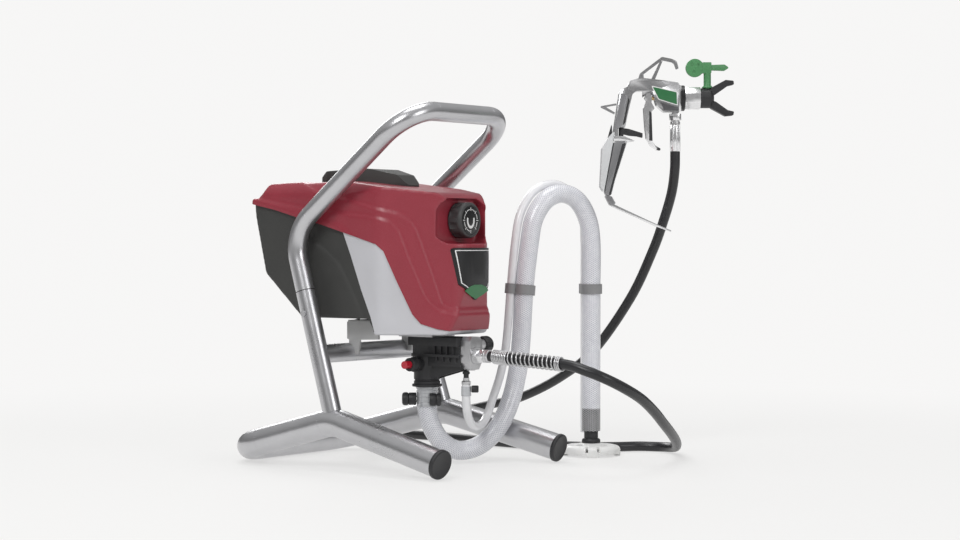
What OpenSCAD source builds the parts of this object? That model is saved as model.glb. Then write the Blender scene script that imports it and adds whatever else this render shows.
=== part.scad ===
/* [Stand] */
// Outer diameter of the base tube
base_d = 32; // [28:0.5:36]
// Wall of the base tube
base_wall = 1.8; // [1.2:0.1:3]
// Outer diameter of the post, handle and cross tubes
post_d = 22; // [20:0.5:24]
// Wall of the post, handle and cross tubes
post_wall = 1.5; // [1:0.1:2.5]
// Half distance between the post feet, centre to centre
base_half = 106; // [102:1:112]
// Gap between the housing and a handle leg
handle_gap = 4; // [3:0.5:8]
// Half distance between the front feet
foot_half = 118; // [112:1:128]
// Reach of the front feet in front of the posts
foot_reach = 164; // [150:1:180]
// Reach of the rear bar behind the posts
rear_reach = 154; // [140:1:170]
// Height of the tube centre where the posts stand
apex_z = 56; // [50:1:62]
// Height of the knee of the handle legs
knee_z = 273; // [262:1:285]
// Setback of the knee behind the post feet
knee_y = 69; // [62:1:76]
// Height of the grip bar centre
grip_z = 412; // [400:1:430]
// Reach of the grip bar in front of the post feet
grip_reach = 104; // [96:1:112]
// Height of the seam between post and handle leg
seam_z = 205; // [200:1:225]
// Length of the swaged end that plugs into the post
swage_len = 44; // [38:1:55]
// Diameter of a snap button
snap_d = 7; // [6:0.5:8]
// Travel of a snap button
snap_travel = 2.5; // [2:0.1:3]
// Height of the cross tube
cross_z = 133; // [128:0.5:138]
// Length of a foot cap over the tube
cap_len = 13; // [10:1:20]
// Thickness of a foot cap
cap_wall = 1; // [0.8:0.1:1.5]
// Thickness of the mounting bracket
bracket_t = 3; // [2:0.5:4]

/* [Housing] */
// Half width of the housing
hous_half = 84; // [82:0.5:86]
// Reach of the nose in front of the posts
nose_reach = 131; // [126:1:136]
// Reach of the back of the housing
back_reach = 150; // [142:1:156]
// Height of the top of the housing
hous_top = 338; // [334:1:346]
// Height of the underside behind the pump
hous_floor = 171; // [169:1:173]
// Depth of the band below that underside
band_drop = 17; // [14:1:18]
// Wall of the covers
cover_wall = 2.5; // [2:0.1:3.5]
// Step between the red cover and the dark one
cover_step = 3; // [2:0.5:4]
// Width of the seam between two covers
seam_gap = 0.5; // [0.3:0.1:1]
// Height of the raised cap on the top
cap_rise = 10; // [6:0.5:14]
// Diameter of the pressure knob
knob_d = 42; // [38:1:46]
// Height of the knob centre
knob_z = 288; // [284:1:291]
// Depth of the knob
knob_depth = 19; // [16:1:22]
// Height of the badge plate centre
badge_z = 226; // [222:1:230]
// Thickness of the badge plate
badge_t = 1.2; // [0.8:0.1:2]

/* [Drive] */
// Module of the gears
gear_m = 1.25; // [1.2:0.01:1.3]
// Teeth of the pinion
pinion_teeth = 14; // [13:1:15]
// Teeth of the crank gear
gear_teeth = 56; // [52:1:58]
// Width of the gears
gear_w = 10; // [8:1:11]
// Height of the crank axis
crank_z = 214; // [212:1:217]
// Throw of the crank pin
crank_throw = 8; // [6:0.5:9]
// Diameter of the crank pin
crank_pin_d = 8; // [6:0.5:9]
// Diameter of the crank shaft
crank_shaft_d = 12; // [10:1:14]
// Outer diameter of the motor can
motor_d = 68; // [64:1:72]
// Length of the motor can
motor_len = 78; // [70:1:84]
// Diameter of the motor shaft
motor_shaft_d = 8; // [6:0.5:9]
// Radial clearance of every running fit
run_fit = 0.05; // [0.02:0.01:0.1]

/* [Pump] */
// Distance of the pump axis in front of the posts
pump_y = 54; // [52:0.5:56]
// Height of the top of the pump block
block_top = 152; // [150:0.5:153]
// Diameter of the pump tower
tower_d = 28; // [26:1:32]
// Diameter of the piston rod
rod_d = 14; // [12:0.5:15]
// Height of the lower face of the inlet housing
inlet_z = 88; // [86:0.5:89]
// Diameter of the inlet flange
inlet_d = 36; // [33:1:40]
// Diameter of the inlet ball
ball_d = 11; // [10:0.5:12]
// Height of the outlet axis
outlet_z = 131; // [129:0.5:133]
// Half width of the outlet manifold
manifold_half = 12; // [11:0.5:14]
// Travel of the inlet pusher
pusher_travel = 4; // [3:0.5:5]
// Height of the pusher axis
pusher_z = 120; // [118:0.5:122]
// Diameter of the prime and spray knob
prime_d = 20; // [17:1:23]

/* [Hoses] */
// Outer diameter of the suction hose
suction_d = 23; // [20:0.5:24]
// Outer diameter of the return tube
return_d = 10; // [8:0.5:10.5]
// Outer diameter of the spray hose
spray_d = 12; // [10:0.5:12]
// Outer diameter of the strainer foot
strainer_d = 72; // [64:1:80]
// Height of the strainer foot
strainer_h = 15; // [12:1:18]
// Length of a hose clip
clip_len = 12; // [8:1:16]
// Wall of a hose clip
clip_wall = 2; // [1.4:0.1:2.5]
// Wire diameter of the spring guard
guard_wire = 1.8; // [1.4:0.1:2]
// Curls of the spring guard
guard_curls = 24; // [18:1:26]

/* [Gun] */
// Width of the gun body
gun_w = 22; // [20:1:24]
// Width of the grip
grip_w = 25; // [22:1:27]
// Diameter of the nozzle nut
nozzle_d = 28; // [26:1:29]
// Diameter of the trigger pivot pin
trigger_pin_d = 5; // [4:0.5:6]
// Diameter of the spray tip stem
tip_stem_d = 9; // [8:0.5:9.5]
// Diameter of the hose sleeve on the gun
sleeve_d = 12.4; // [12.2:0.1:13]

/* [Hidden] */

smooth = 64;
fine = 32;
arc_steps = 5;
tube_sides = 10;
big = 400;

// Stand
base_r = base_d / 2;
post_r = post_d / 2;
handle_half = hous_half + handle_gap + post_r;
base_bend = 52;
rear_bend = 46;
knee_bend = 50;
grip_bend = 46;
bead = 0.3;
bead_rise = 0.08;
cap_end = 3;
swage_r = post_r - post_wall - 0.05;
cap_r = base_r + cap_wall;
foot_slope = atan((apex_z - cap_r) / foot_reach);
foot_z = cap_r * cos(foot_slope);

// Housing
band_bottom = hous_floor - band_drop;
cover_floor = hous_floor + cover_step;
base_z = cover_floor + cover_wall;
screw_x = 32;
screw_pitch = 30;
screw_r = 2.4;
back_low = [130, 216];
back_top_z = 306;
back_tilt = atan((back_reach - back_low[0]) / (back_top_z - back_low[1]));
shoulder_r = 24;
knob_seat_y = 99;
bay_half = 45;
bay_drop = 27;
bay_rise = 35;
bay_wall = 3;
knob_gap = 0.6;
switch_x = 45;
switch_z = 268;
gland_x = -45;
gland_z = 245;

// Drive
pitch_pinion = gear_m * pinion_teeth / 2;
pitch_gear = gear_m * gear_teeth / 2;
motor_z = crank_z + pitch_pinion + pitch_gear;
motor_r = motor_d / 2;
magnet_r = motor_r - 9;
armature_r = magnet_r - 1;
plate_front = 2;
plate_t = 12;
motor_y = plate_front + plate_t;
bell_len = 18;
gear_y = -17;
wall_front = -40;
wall_t = 11;
disc_t = 5;
disc_y = wall_front - 1 - disc_t;
yoke_t = 12;
yoke_frame = 6;
yoke_gap = 1;
neck_half = 22;
pin_half = crank_throw + crank_pin_d / 2;
window_x = pin_half + yoke_gap;
window_z = pin_half + crank_throw + yoke_gap;
yoke_bottom = crank_z - window_z - yoke_frame;

// Pump
rod_r = rod_d / 2;
rod_bottom = 126;
packing_r = rod_r + 4.5;
packing_h = 10;
flange_h = 10;
flange_half = 20;
manifold_y = 112;
manifold_t = 13;
ball_r = ball_d / 2;
seat_r = ball_r - 1;
seat_z = inlet_z + 12;
inlet_top = 112;
boss_x = 35;
boss_r = 8;
button_r = 4.5;
stem_r = 3;
prime_y = manifold_y + manifold_t / 2;
prime_z = 143;
nipple_y = 111;
nipple_bottom = 97;
outlet_y = manifold_y + manifold_t;
nut_len = 21;
nut_y = outlet_y + nut_len;

// Routes of the free hoses
suction_route = [
  [0, -54, 88], [0, -54, 68], [5, -56, 47], [19, -62, 26], [41, -71, 15], [65, -85, 21], [85, -98, 43],
  [103, -102, 72], [114, -104, 104], [119, -106, 140], [123, -108, 205], [130, -111, 262],
  [136, -114, 292], [151, -121, 314], [172, -130, 322], [192, -139, 314], [206, -145, 292],
  [212, -147, 262], [212, -147, 205], [212, -147, 145], [212, -147, 85], [212, -147, 30]
];
return_route = [
  [0, -111, 97], [0, -111, 80], [5, -109, 64], [18, -105, 50], [42, -98, 45], [68, -90, 52],
  [88, -86, 74], [99, -90, 104], [105, -94, 140], [110, -97, 205], [118, -98, 262], [127, -100, 298],
  [148, -106, 325], [177, -116, 334], [203, -126, 321], [217, -131, 294], [220, -132, 262],
  [220, -132, 205], [220, -132, 145], [220, -132, 85], [220, -132, 27]
];
spray_route = [
  [0, -146, 131], [0, -198, 128], [0, -250, 125], [3, -274, 119], [15, -293, 110], [40, -303, 99],
  [74, -303, 88], [112, -296, 72], [150, -285, 55], [188, -272, 40], [224, -258, 26], [256, -242, 15],
  [283, -221, 8], [296, -195, 6], [288, -169, 6], [266, -150, 6], [248, -126, 6], [236, -92, 6],
  [230, -50, 6], [231, -8, 6], [236, 34, 6], [243, 80, 6], [249, 126, 6], [254, 168, 6],
  [268, 206, 9], [298, 226, 14], [332, 218, 20], [352, 190, 26], [354, 152, 32], [347, 100, 43],
  [338, 44, 56], [324, -26, 85], [308, -90, 124], [289, -152, 192], [276, -190, 250],
  [266, -212, 288], [257, -231, 322], [251, -242, 350], [250, -244, 373]
];

// Spring guard
guard_start = 2;
guard_len = 96;
guard_coil_r = spray_d / 2 + guard_wire / 2 + 0.6;
guard_drop = 3 / 52;
guard_steps = 8;

// Gun, in its own frame: u forward, v to the left, w up from the inlet
gun_turn = 35.8;
sleeve_len = 34;
collar_len = 7;
gun_z = spray_route[38][2] + sleeve_len + collar_len;
inlet_r = 4;
nut_af = 13;
nozzle_w = 24;
nozzle_u = 11;
nozzle_len = 19;
bore_r = 5;
needle_r = 2.4;
guard_u = nozzle_u + nozzle_len;
tip_u = 39;
pivot_u = -34;
pivot_w = 27;
lock_u = -66;
lock_w = -16;
lock_r = 3;
arm_half = 5;

// ---------------------------------------------------------------- helpers
function unit(v) = v / norm(v);
function half_angle(a, b, c) = acos(max(-1, min(1, unit(a - b) * unit(c - b)))) / 2;
function flat2(v) = [v[0], v[1]];

// Points of a corner arc of radius r at b, between a and c
function corner(a, b, c, r) =
  let (u = unit(a - b), w = unit(c - b), half = half_angle(a, b, c))
  let (centre = b + unit(u + w) * r / sin(half), p0 = b + u * r / tan(half) - centre)
  let (p1 = b + w * r / tan(half) - centre, a0 = atan2(p0[1], p0[0]), a1 = atan2(p1[1], p1[0]))
  let (turn = a1 - a0, sweep = turn > 180 ? turn - 360 : turn < -180 ? turn + 360 : turn)
  [for (i = [0:arc_steps]) centre + r * [cos(a0 + sweep * i / arc_steps), sin(a0 + sweep * i / arc_steps)]];

// Outline of [x, y, radius] corners, with each corner rounded
function rounded(pts) =
  let (n = len(pts))
  [for (i = [0:n - 1])
    each corner(flat2(pts[(i + n - 1) % n]), flat2(pts[i]), flat2(pts[(i + 1) % n]), pts[i][2])];

// The same corners drawn inwards by t; the outline runs anticlockwise
function inset(pts, t) =
  let (n = len(pts))
  [for (i = [0:n - 1])
    let (a = flat2(pts[(i + n - 1) % n]), b = flat2(pts[i]), c = flat2(pts[(i + 1) % n]))
    let (u = unit(b - a), w = unit(c - b), n1 = [-u[1], u[0]], n2 = [-w[1], w[0]])
    let (q = b + t * (n1 + n2) / (1 + n1 * n2)) [q[0], q[1], max(0.6, pts[i][2] - t)]];

// Straight rod from a to b
module rod(a, b, r) {
  d = unit(b - a);
  translate(a)
    rotate([0, acos(d[2]), atan2(d[1], d[0])])
      cylinder(h = norm(b - a), r = r, $fn = smooth);
}

// Quarter-like bend of a tube at b
module bend(a, b, c, bend_r, r) {
  u = unit(a - b);
  w = unit(c - b);
  half = half_angle(a, b, c);
  centre = b + unit(u + w) * bend_r / sin(half);
  ex = unit(b + u * bend_r / tan(half) - centre);
  ey = -u;
  ez = cross(ex, ey);
  multmatrix([[ex[0], ey[0], ez[0], centre[0]], [ex[1], ey[1], ez[1], centre[1]],
              [ex[2], ey[2], ez[2], centre[2]], [0, 0, 0, 1]])
    rotate_extrude(angle = 180 - 2 * half, $fn = smooth)
      translate([bend_r, 0])
        circle(r = r, $fn = smooth);
}

// Solid of a bent tube: corners pts, bend radii bends, one for each inner corner
module bent_rod(pts, bends, r) {
  n = len(pts);
  back = [for (i = [0:n - 1])
    i == 0 || i == n - 1 ? 0 : bends[i - 1] / tan(half_angle(pts[i - 1], pts[i], pts[i + 1]))];
  for (i = [0:n - 2]) {
    d = unit(pts[i + 1] - pts[i]);
    a = pts[i] + d * back[i];
    b = pts[i + 1] - d * back[i + 1];
    rod(a + d * (i == 0 ? 0 : bead / 2), b - d * (i == n - 2 ? 0 : bead / 2), r);
    if (i > 0)
      rod(a - d * bead, a + d * bead, r + bead_rise);
    if (i < n - 2)
      rod(b - d * bead, b + d * bead, r + bead_rise);
  }
  for (i = [1:n - 2])
    bend(pts[i - 1], pts[i], pts[i + 1], bends[i - 1], r);
}

// Rings of a swept tube, turned as little as possible from one to the next
function tangent(p, i) = unit(p[min(i + 1, len(p) - 1)] - p[max(i - 1, 0)]);
function side_vec(p, i) =
  i == 0 ? unit(cross(tangent(p, 0), abs(tangent(p, 0)[2]) > 0.9 ? [1, 0, 0] : [0, 0, 1]))
         : let (s = side_vec(p, i - 1), t = tangent(p, i)) unit(s - t * (s * t));
module swept_tube(p, r, sides) {
  n = len(p);
  rings = [for (i = [0:n - 1])
    let (t = tangent(p, i), s = side_vec(p, i), v = cross(t, s))
      for (k = [0:sides - 1]) p[i] + r * (cos(360 * k / sides) * s + sin(360 * k / sides) * v)];
  ends = [p[0], p[n - 1]];
  sides_faces = [for (i = [0:n - 2], k = [0:sides - 1], half = [0, 1])
    let (a = i * sides + k, b = i * sides + (k + 1) % sides)
      half == 0 ? [a, a + sides, b] : [b, a + sides, b + sides]];
  caps = [for (k = [0:sides - 1]) each [[n * sides, k, (k + 1) % sides],
    [n * sides + 1, (n - 1) * sides + (k + 1) % sides, (n - 1) * sides + k]]];
  polyhedron(points = concat(rings, ends), faces = concat(sides_faces, caps), convexity = 10);
}

// Involute gear outline with backlash
function involute(rb, t) = rb * [cos(t) + t * PI / 180 * sin(t), sin(t) - t * PI / 180 * cos(t)];
function turned(p, a) = [p[0] * cos(a) - p[1] * sin(a), p[0] * sin(a) + p[1] * cos(a)];
function gear_points(teeth, m, slack) =
  let (rp = m * teeth / 2, rb = rp * cos(25), ra = rp + 0.85 * m, rf = rp - 1.1 * m)
  let (t0 = rf > rb ? sqrt(pow(rf / rb, 2) - 1) * 180 / PI : 0, t1 = sqrt(pow(ra / rb, 2) - 1) * 180 / PI)
  let (half = 90 / teeth - slack + tan(25) * 180 / PI - 25, root = 180 / teeth - 0.12 * 180 / teeth)
  [for (k = [0:teeth - 1]) each concat(
    [turned([rf, 0], 360 * k / teeth - root)],
    [for (i = [0:3]) turned(involute(rb, t0 + (t1 - t0) * i / 3), 360 * k / teeth - half)],
    [for (i = [3:-1:0])
      let (q = involute(rb, t0 + (t1 - t0) * i / 3)) turned([q[0], -q[1]], 360 * k / teeth + half)],
    [turned([rf, 0], 360 * k / teeth + root)])];
module gear(teeth, slack, turn) {
  rotate([90, 0, 0])
    linear_extrude(gear_w)
      rotate(turn)
        polygon(gear_points(teeth, gear_m, slack));
}

// ---------------------------------------------------------------- stand
function post_foot(s) = [s * base_half, 0, apex_z];
function knee(s) = [s * handle_half, knee_y, knee_z];
function on_post(s, z) = post_foot(s) + (knee(s) - post_foot(s)) * (z - apex_z) / (knee_z - apex_z);
function front_foot(s) = [s * foot_half, -foot_reach, foot_z];
function rear_corner(s) = [s * base_half, rear_reach, base_r + bead_rise];
function tube_end(s) = front_foot(s) - unit(front_foot(s) - post_foot(s)) * cap_end;
base_path = [tube_end(-1), post_foot(-1), rear_corner(-1), rear_corner(1), post_foot(1), tube_end(1)];
base_bends = [base_bend, rear_bend, rear_bend, base_bend];
snap_z = seam_z - 25;

module base_tube() {
  color("silver")
    difference() {
      bent_rod(base_path, base_bends, base_r);
      bent_rod(base_path, base_bends, base_r - base_wall);
    }
}
module foot_cap(s) {
  d = unit(front_foot(s) - post_foot(s));
  difference() {
    rod(front_foot(s) - d * cap_len, front_foot(s), cap_r);
    rod(front_foot(s) - d * (cap_len + 1), front_foot(s) - d * cap_end, base_r);
  }
}
module foot_caps() {
  color("dimgray")
    for (s = [-1, 1])
      foot_cap(s);
}
module lower_post(s) {
  color("silver")
    difference() {
      rod(post_foot(s), on_post(s, seam_z), post_r);
      rod(post_foot(s) - [0, 0, 1], on_post(s, seam_z + 1), post_r - post_wall);
      bent_rod(base_path, base_bends, base_r);
      snap_hole(s);
    }
}
module snap_hole(s) {
  p = on_post(s, snap_z);
  rod(p, p + [s * post_d, 0, 0], snap_d / 2 + 0.3);
}
module snap_button(s) {
  p = on_post(s, snap_z);
  color("silver")
    difference() {
      rod(p + [-s * 1, 0, 0], p + [s * (post_r + snap_travel), 0, 0], snap_d / 2);
      rod(p + [-s * 2, 0, 0], p + [s * (post_r - 3), 0, 0], snap_d / 2 - 1);
    }
}
module cross_tube() {
  color("silver")
    difference() {
      rod(on_post(-1, cross_z), on_post(1, cross_z), post_r);
      rod(on_post(-1, cross_z), on_post(1, cross_z), post_r - post_wall);
      for (s = [-1, 1])
        rod(post_foot(s), on_post(s, seam_z), post_r);
    }
}
module mounting_bracket() {
  y0 = on_post(1, cross_z)[1];
  plate_top = cover_floor;
  color("lightgray")
    difference() {
      union() {
        translate([-60, y0 - 44, plate_top - bracket_t])
          cube([120, 78, bracket_t]);
        for (x = [-52, 52 - bracket_t])
          translate([x, 0, 0])
            rotate([90, 0, 90])
              linear_extrude(bracket_t)
                polygon([[y0 - 17, cross_z - 2], [y0 + 17, cross_z - 2], [y0 + 30, plate_top - bracket_t],
                         [y0 - 40, plate_top - bracket_t]]);
      }
      rod(on_post(-1, cross_z), on_post(1, cross_z), post_r);
      screws(plate_top - bracket_t - 1, bracket_t + 2, screw_r + 0.3);
    }
}
module handle_hoop() {
  path = [on_post(-1, seam_z), knee(-1), [-handle_half, -grip_reach, grip_z],
          [handle_half, -grip_reach, grip_z], knee(1), on_post(1, seam_z)];
  bends = [knee_bend, grip_bend, grip_bend, knee_bend];
  color("silver")
    difference() {
      union() {
        bent_rod(path, bends, post_r);
        for (s = [-1, 1])
          rod(on_post(s, seam_z - swage_len), on_post(s, seam_z + 1), swage_r);
      }
      bent_rod(path, bends, post_r - post_wall * 2);
      for (s = [-1, 1]) {
        rod(on_post(s, seam_z - swage_len - 1), on_post(s, seam_z + 1), post_r - post_wall * 2);
        snap_hole(s);
      }
    }
}

// ---------------------------------------------------------------- housing
side_corners = [
  [-nose_reach, band_bottom, 14], [-36, band_bottom, 8], [-26, hous_floor, 4], [62, hous_floor, 30],
  [back_low[0], back_low[1], 30], [back_reach, back_top_z + 3, 6], [back_reach - 24, hous_top - 4, 12],
  [14, hous_top, 60], [-104, hous_top - 15, 20], [-nose_reach, 292, 24]
];
plan_corners = [
  [-hous_half, -47, 30], [-29, -nose_reach, 40], [29, -nose_reach, 40], [hous_half, -47, 30],
  [hous_half, back_reach, 10], [-hous_half, back_reach, 10]
];
front_corners = [
  [-hous_half, band_bottom - 20, 3], [hous_half, band_bottom - 20, 3],
  [hous_half, hous_top + 2, shoulder_r], [-hous_half, hous_top + 2, shoulder_r]
];
// The whole housing drawn inwards by t
module envelope(t) {
  intersection() {
    translate([-big / 2, 0, 0])
      rotate([90, 0, 90])
        linear_extrude(big)
          polygon(rounded(inset(side_corners, t)));
    linear_extrude(big)
      polygon(rounded(inset(plan_corners, t)));
    translate([0, big / 2, 0])
      rotate([90, 0, 0])
        linear_extrude(big)
          polygon(rounded(inset(front_corners, t)));
  }
}
module skin(t) {
  difference() {
    envelope(t);
    envelope(t + cover_wall);
  }
}
module side_prism(pts) {
  translate([-big / 2, 0, 0])
    rotate([90, 0, 90])
      linear_extrude(big)
        polygon(pts);
}
// Lower edge of the red cover and rear edge of the band, side view [y, z]
red_edge = [[160, 311], [109, 301], [75, 292], [40, 284], [6, 274.5], [-43, 260.5], [-52, 252.5],
            [-66, 215], [-80, 180], [-88, 169], [-104, 163], [-125, 159], [-150, 157.5]];
band_edge = [[6, 274.5], [-6, 246], [-21, 207.5], [-35, 176], [-40, 160], [-40, 140]];
red_region = concat(red_edge, [[-150, 360], [160, 360]]);
band_region = concat([for (i = [4:len(red_edge) - 1]) red_edge[i] - [0, seam_gap]], [[-150, 140]],
                     [for (i = [5:-1:1]) band_edge[i]]);

module front_cover() {
  color("firebrick")
    difference() {
      intersection() {
        skin(0);
        side_prism(red_region);
      }
      bay_prism(0, knob_seat_y - bay_wall - 1);
      translate([0, 0, hous_top - 16])
        linear_extrude(30)
          polygon(rounded(inset(cap_corners, -seam_gap)));
      badge_prism(seam_gap / 2);
    }
}
// Frame on the outer face of the back of the dark cover: y outwards, square to it
module on_back(x, z) {
  y = back_low[0] + (z - back_low[1]) * tan(back_tilt) - cover_step / cos(back_tilt);
  translate([x, y, z])
    rotate([-back_tilt, 0, 0])
      children();
}
module neck_cut() {
  translate([-neck_half - 4, -pump_y - 34, band_bottom - 5])
    cube([2 * neck_half + 8, 62, cover_floor + cover_wall + 10 - band_bottom]);
}
module side_band() {
  color("lightgray")
    difference() {
      intersection() {
        skin(cover_step / 2);
        side_prism(band_region);
      }
      neck_cut();
    }
}
module rear_cover() {
  color("dimgray")
  union() {
    difference() {
      skin(cover_step);
      side_prism([for (p = red_region) p - [0, seam_gap]]);
      side_prism(concat([[-150, 140]], [for (i = [5:-1:0]) band_edge[i] + [seam_gap, 0]], [[-150, 300]]));
      on_back(switch_x, switch_z)
        translate([-11, -20, -14])
          cube([22, 40, 28]);
      on_back(gland_x, gland_z)
        rod([0, -20, 0], [0, 20, 0], 7);
      screws(cover_floor - 2, cover_wall + 4, screw_r + 0.3);
      neck_cut();
    }
    on_back(switch_x, switch_z)
      rod([-12.5, -2, 0], [12.5, -2, 0], 2 - run_fit);
  }
}
cap_corners = [[-12, -35, 7], [12, -35, 7], [44, 60, 16], [30, 84, 14], [-30, 84, 14], [-44, 60, 16]];
module top_cap() {
  color("dimgray")
    intersection() {
      translate([0, 0, hous_top - 12])
        linear_extrude(40)
          polygon(rounded(cap_corners));
      side_prism(rounded([[-42, hous_top - 12, 1], [86, hous_top - 8, 2], [84, hous_top, 4],
                          [66, hous_top + cap_rise - 1, 8], [12, hous_top + cap_rise + 2, 30],
                          [-22, hous_top + cap_rise - 6, 5], [-35, hous_top - 8, 1.5]]));
    }
}
// The bay in the nose that holds the knob, drawn inwards by t, from y0 forwards
module bay_prism(t, y0) {
  corners = [[-bay_half, knob_z - bay_drop, 13], [bay_half, knob_z - bay_drop, 13],
             [bay_half - 2, knob_z + bay_rise, 15], [-bay_half + 2, knob_z + bay_rise, 15]];
  translate([0, -y0, 0])
    rotate([90, 0, 0])
      linear_extrude(big / 2)
        polygon(rounded(inset(corners, t)));
}
module badge_prism(gap) {
  translate([0, -60, badge_z])
    rotate([90, 0, 0])
      linear_extrude(120)
        polygon(rounded(inset([[-36, 30, 3], [-29, -12, 3], [0, -31, 4], [29, -12, 3], [36, 30, 3]], -gap)));
}
module badge_plate() {
  color("black")
    intersection() {
      difference() {
        envelope(-0.3);
        envelope(badge_t);
      }
      badge_prism(0);
      translate([-60, -200, 150])
        cube([120, 130, 150]);
    }
}
module knob_bezel() {
  color("firebrick")
    difference() {
      intersection() {
        bay_prism(seam_gap, knob_seat_y - bay_wall);
        envelope(0.4);
      }
      bay_prism(bay_wall, knob_seat_y);
      rod([0, 0, knob_z], [0, -big, knob_z], 6);
    }
}
module pressure_knob() {
  face_y = knob_seat_y + knob_depth;
  color("dimgray")
    union() {
      difference() {
        rod([0, -knob_seat_y - knob_gap, knob_z], [0, -face_y, knob_z], knob_d / 2);
        for (a = [15:30:345])
          translate([0, 0, knob_z])
            rotate([0, a, 0])
              rod([knob_d / 2 + 2.4, -knob_seat_y - 4, 0], [knob_d / 2 + 2.4, -face_y - 1, 0], 3.2);
        rod([0, -face_y + 1.5, knob_z], [0, -face_y - 1, knob_z], knob_d / 2 - 5);
      }
      rod([0, -knob_seat_y - knob_gap - 1, knob_z], [0, -knob_seat_y + 18, knob_z], 3);
    }
}
module control_pot() {
  color("steelblue")
    difference() {
      union() {
        rod([0, -knob_seat_y + 4, knob_z], [0, -knob_seat_y + 16, knob_z], 11);
        rod([0, -knob_seat_y + 5, knob_z], [0, -knob_seat_y - 0.2, knob_z], 5.6);
        translate([-6, -knob_seat_y + 8, knob_z - 19])
          cube([12, 4, 10]);
      }
      rod([0, -knob_seat_y - 1, knob_z], [0, -knob_seat_y + 19, knob_z], 3 + run_fit);
    }
}
module control_board() {
  color("seagreen")
    translate([-46, -76, 296])
      union() {
        cube([92, 56, 1.6]);
        for (x = [8, 40, 66])
          translate([x, 14, 1.6])
            cube([14, 24, 14]);
        for (x = [6, 82])
          translate([x - 2, 4, -8])
            cube([8, 8, 8]);
      }
}
module power_switch() {
  color("black")
    on_back(switch_x, switch_z)
      difference() {
        translate([-9, 0, 0])
          rotate([90, 0, 90])
            linear_extrude(18)
              polygon([[-7, -8], [0, -12], [4, -12], [2.4, -6], [2, 0], [2.4, 6], [4, 12], [0, 12], [-7, 8]]);
        rod([-10, -2, 0], [10, -2, 0], 2);
      }
}
module cord_gland() {
  color("black")
    on_back(gland_x, gland_z)
      difference() {
        union() {
          rod([0, -12, 0], [0, 1, 0], 6.8);
          rod([0, 0.2, 0], [0, 5, 0], 9);
        }
        rod([0, -13, 0], [0, 6, 0], 4);
      }
}
// Four upright cylinders at the places of the mounting screws
module screws(z, h, r) {
  for (x = [-screw_x, screw_x], y = [0, screw_pitch])
    translate([x, on_post(1, cross_z)[1] - y, z])
      cylinder(h = h, r = r, $fn = fine);
}
module cover_screws() {
  head = 3;
  color("gray")
    union() {
      screws(cover_floor - bracket_t - head, head, screw_r + 2);
      screws(cover_floor - bracket_t - 0.5, 14, screw_r);
    }
}

// ---------------------------------------------------------------- drive
module y_rod(y0, y1, z, r) {
  rod([0, y0, z], [0, y1, z], r);
}
module motor_can() {
  color("gray")
    difference() {
      y_rod(motor_y, motor_y + motor_len, motor_z, motor_r);
      y_rod(motor_y - 1, motor_y + motor_len + 1, motor_z, magnet_r);
    }
}
module motor_end_bell() {
  y1 = motor_y + motor_len;
  color("darkgray")
    difference() {
      y_rod(y1, y1 + bell_len, motor_z, motor_r - 2);
      y_rod(y1 - 1, y1 + bell_len - 6, motor_z, motor_r - 6);
      y_rod(y1, y1 + bell_len + 1, motor_z, motor_shaft_d / 2 + run_fit);
      for (a = [45:90:315])
        translate([0, 0, motor_z])
          rotate([0, a, 0])
            rod([17, y1, 0], [17, y1 + bell_len + 1, 0], 4);
    }
}
module motor_brushes() {
  y1 = motor_y + motor_len;
  color("darkslategray")
    for (s = [-1, 1])
      translate([s * 17 - 4, y1 + 3, motor_z - 3])
        cube([8, 9, 6]);
}
module motor_rotor() {
  y1 = motor_y + motor_len;
  color("peru")
    union() {
      y_rod(gear_y - gear_w + 1, y1 + bell_len - 1, motor_z, motor_shaft_d / 2);
      y_rod(motor_y + 12, y1 - 8, motor_z, armature_r);
      y_rod(y1 - 9, y1 + 11, motor_z, 12.5);
    }
}
module drive_pinion() {
  color("darkgoldenrod")
    translate([0, gear_y, motor_z])
      difference() {
        gear(pinion_teeth, 0.9, 90 + 180 / pinion_teeth + 180 / pinion_teeth * (pinion_teeth % 2));
        rod([0, 2, 0], [0, -gear_w - 1, 0], motor_shaft_d / 2);
      }
}
module crank_gear() {
  color("darkgoldenrod")
    translate([0, gear_y, crank_z])
      difference() {
        gear(gear_teeth, 0.25, 90);
        rod([0, 1, 0], [0, -gear_w - 1, 0], crank_shaft_d / 2);
        for (a = [0:60:300])
          rotate([0, a, 0])
            rod([22, 1, 0], [22, -gear_w - 1, 0], 6);
      }
}
module crank_shaft() {
  color("lightsteelblue")
    union() {
      y_rod(plate_front + plate_t - 2, wall_front - 2, crank_z, crank_shaft_d / 2);
      y_rod(disc_y + disc_t, disc_y, crank_z, pin_half + 3);
      rod([0, disc_y + 1, crank_z + crank_throw], [0, -pump_y - yoke_t / 2 - 2, crank_z + crank_throw],
          crank_pin_d / 2);
    }
}
module shaft_bearings() {
  color("goldenrod")
    for (y = [plate_front, wall_front])
      difference() {
        y_rod(y, y + 9, crank_z, crank_shaft_d / 2 + 3);
        y_rod(y - 1, y + 10, crank_z, crank_shaft_d / 2 + run_fit);
      }
}
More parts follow.
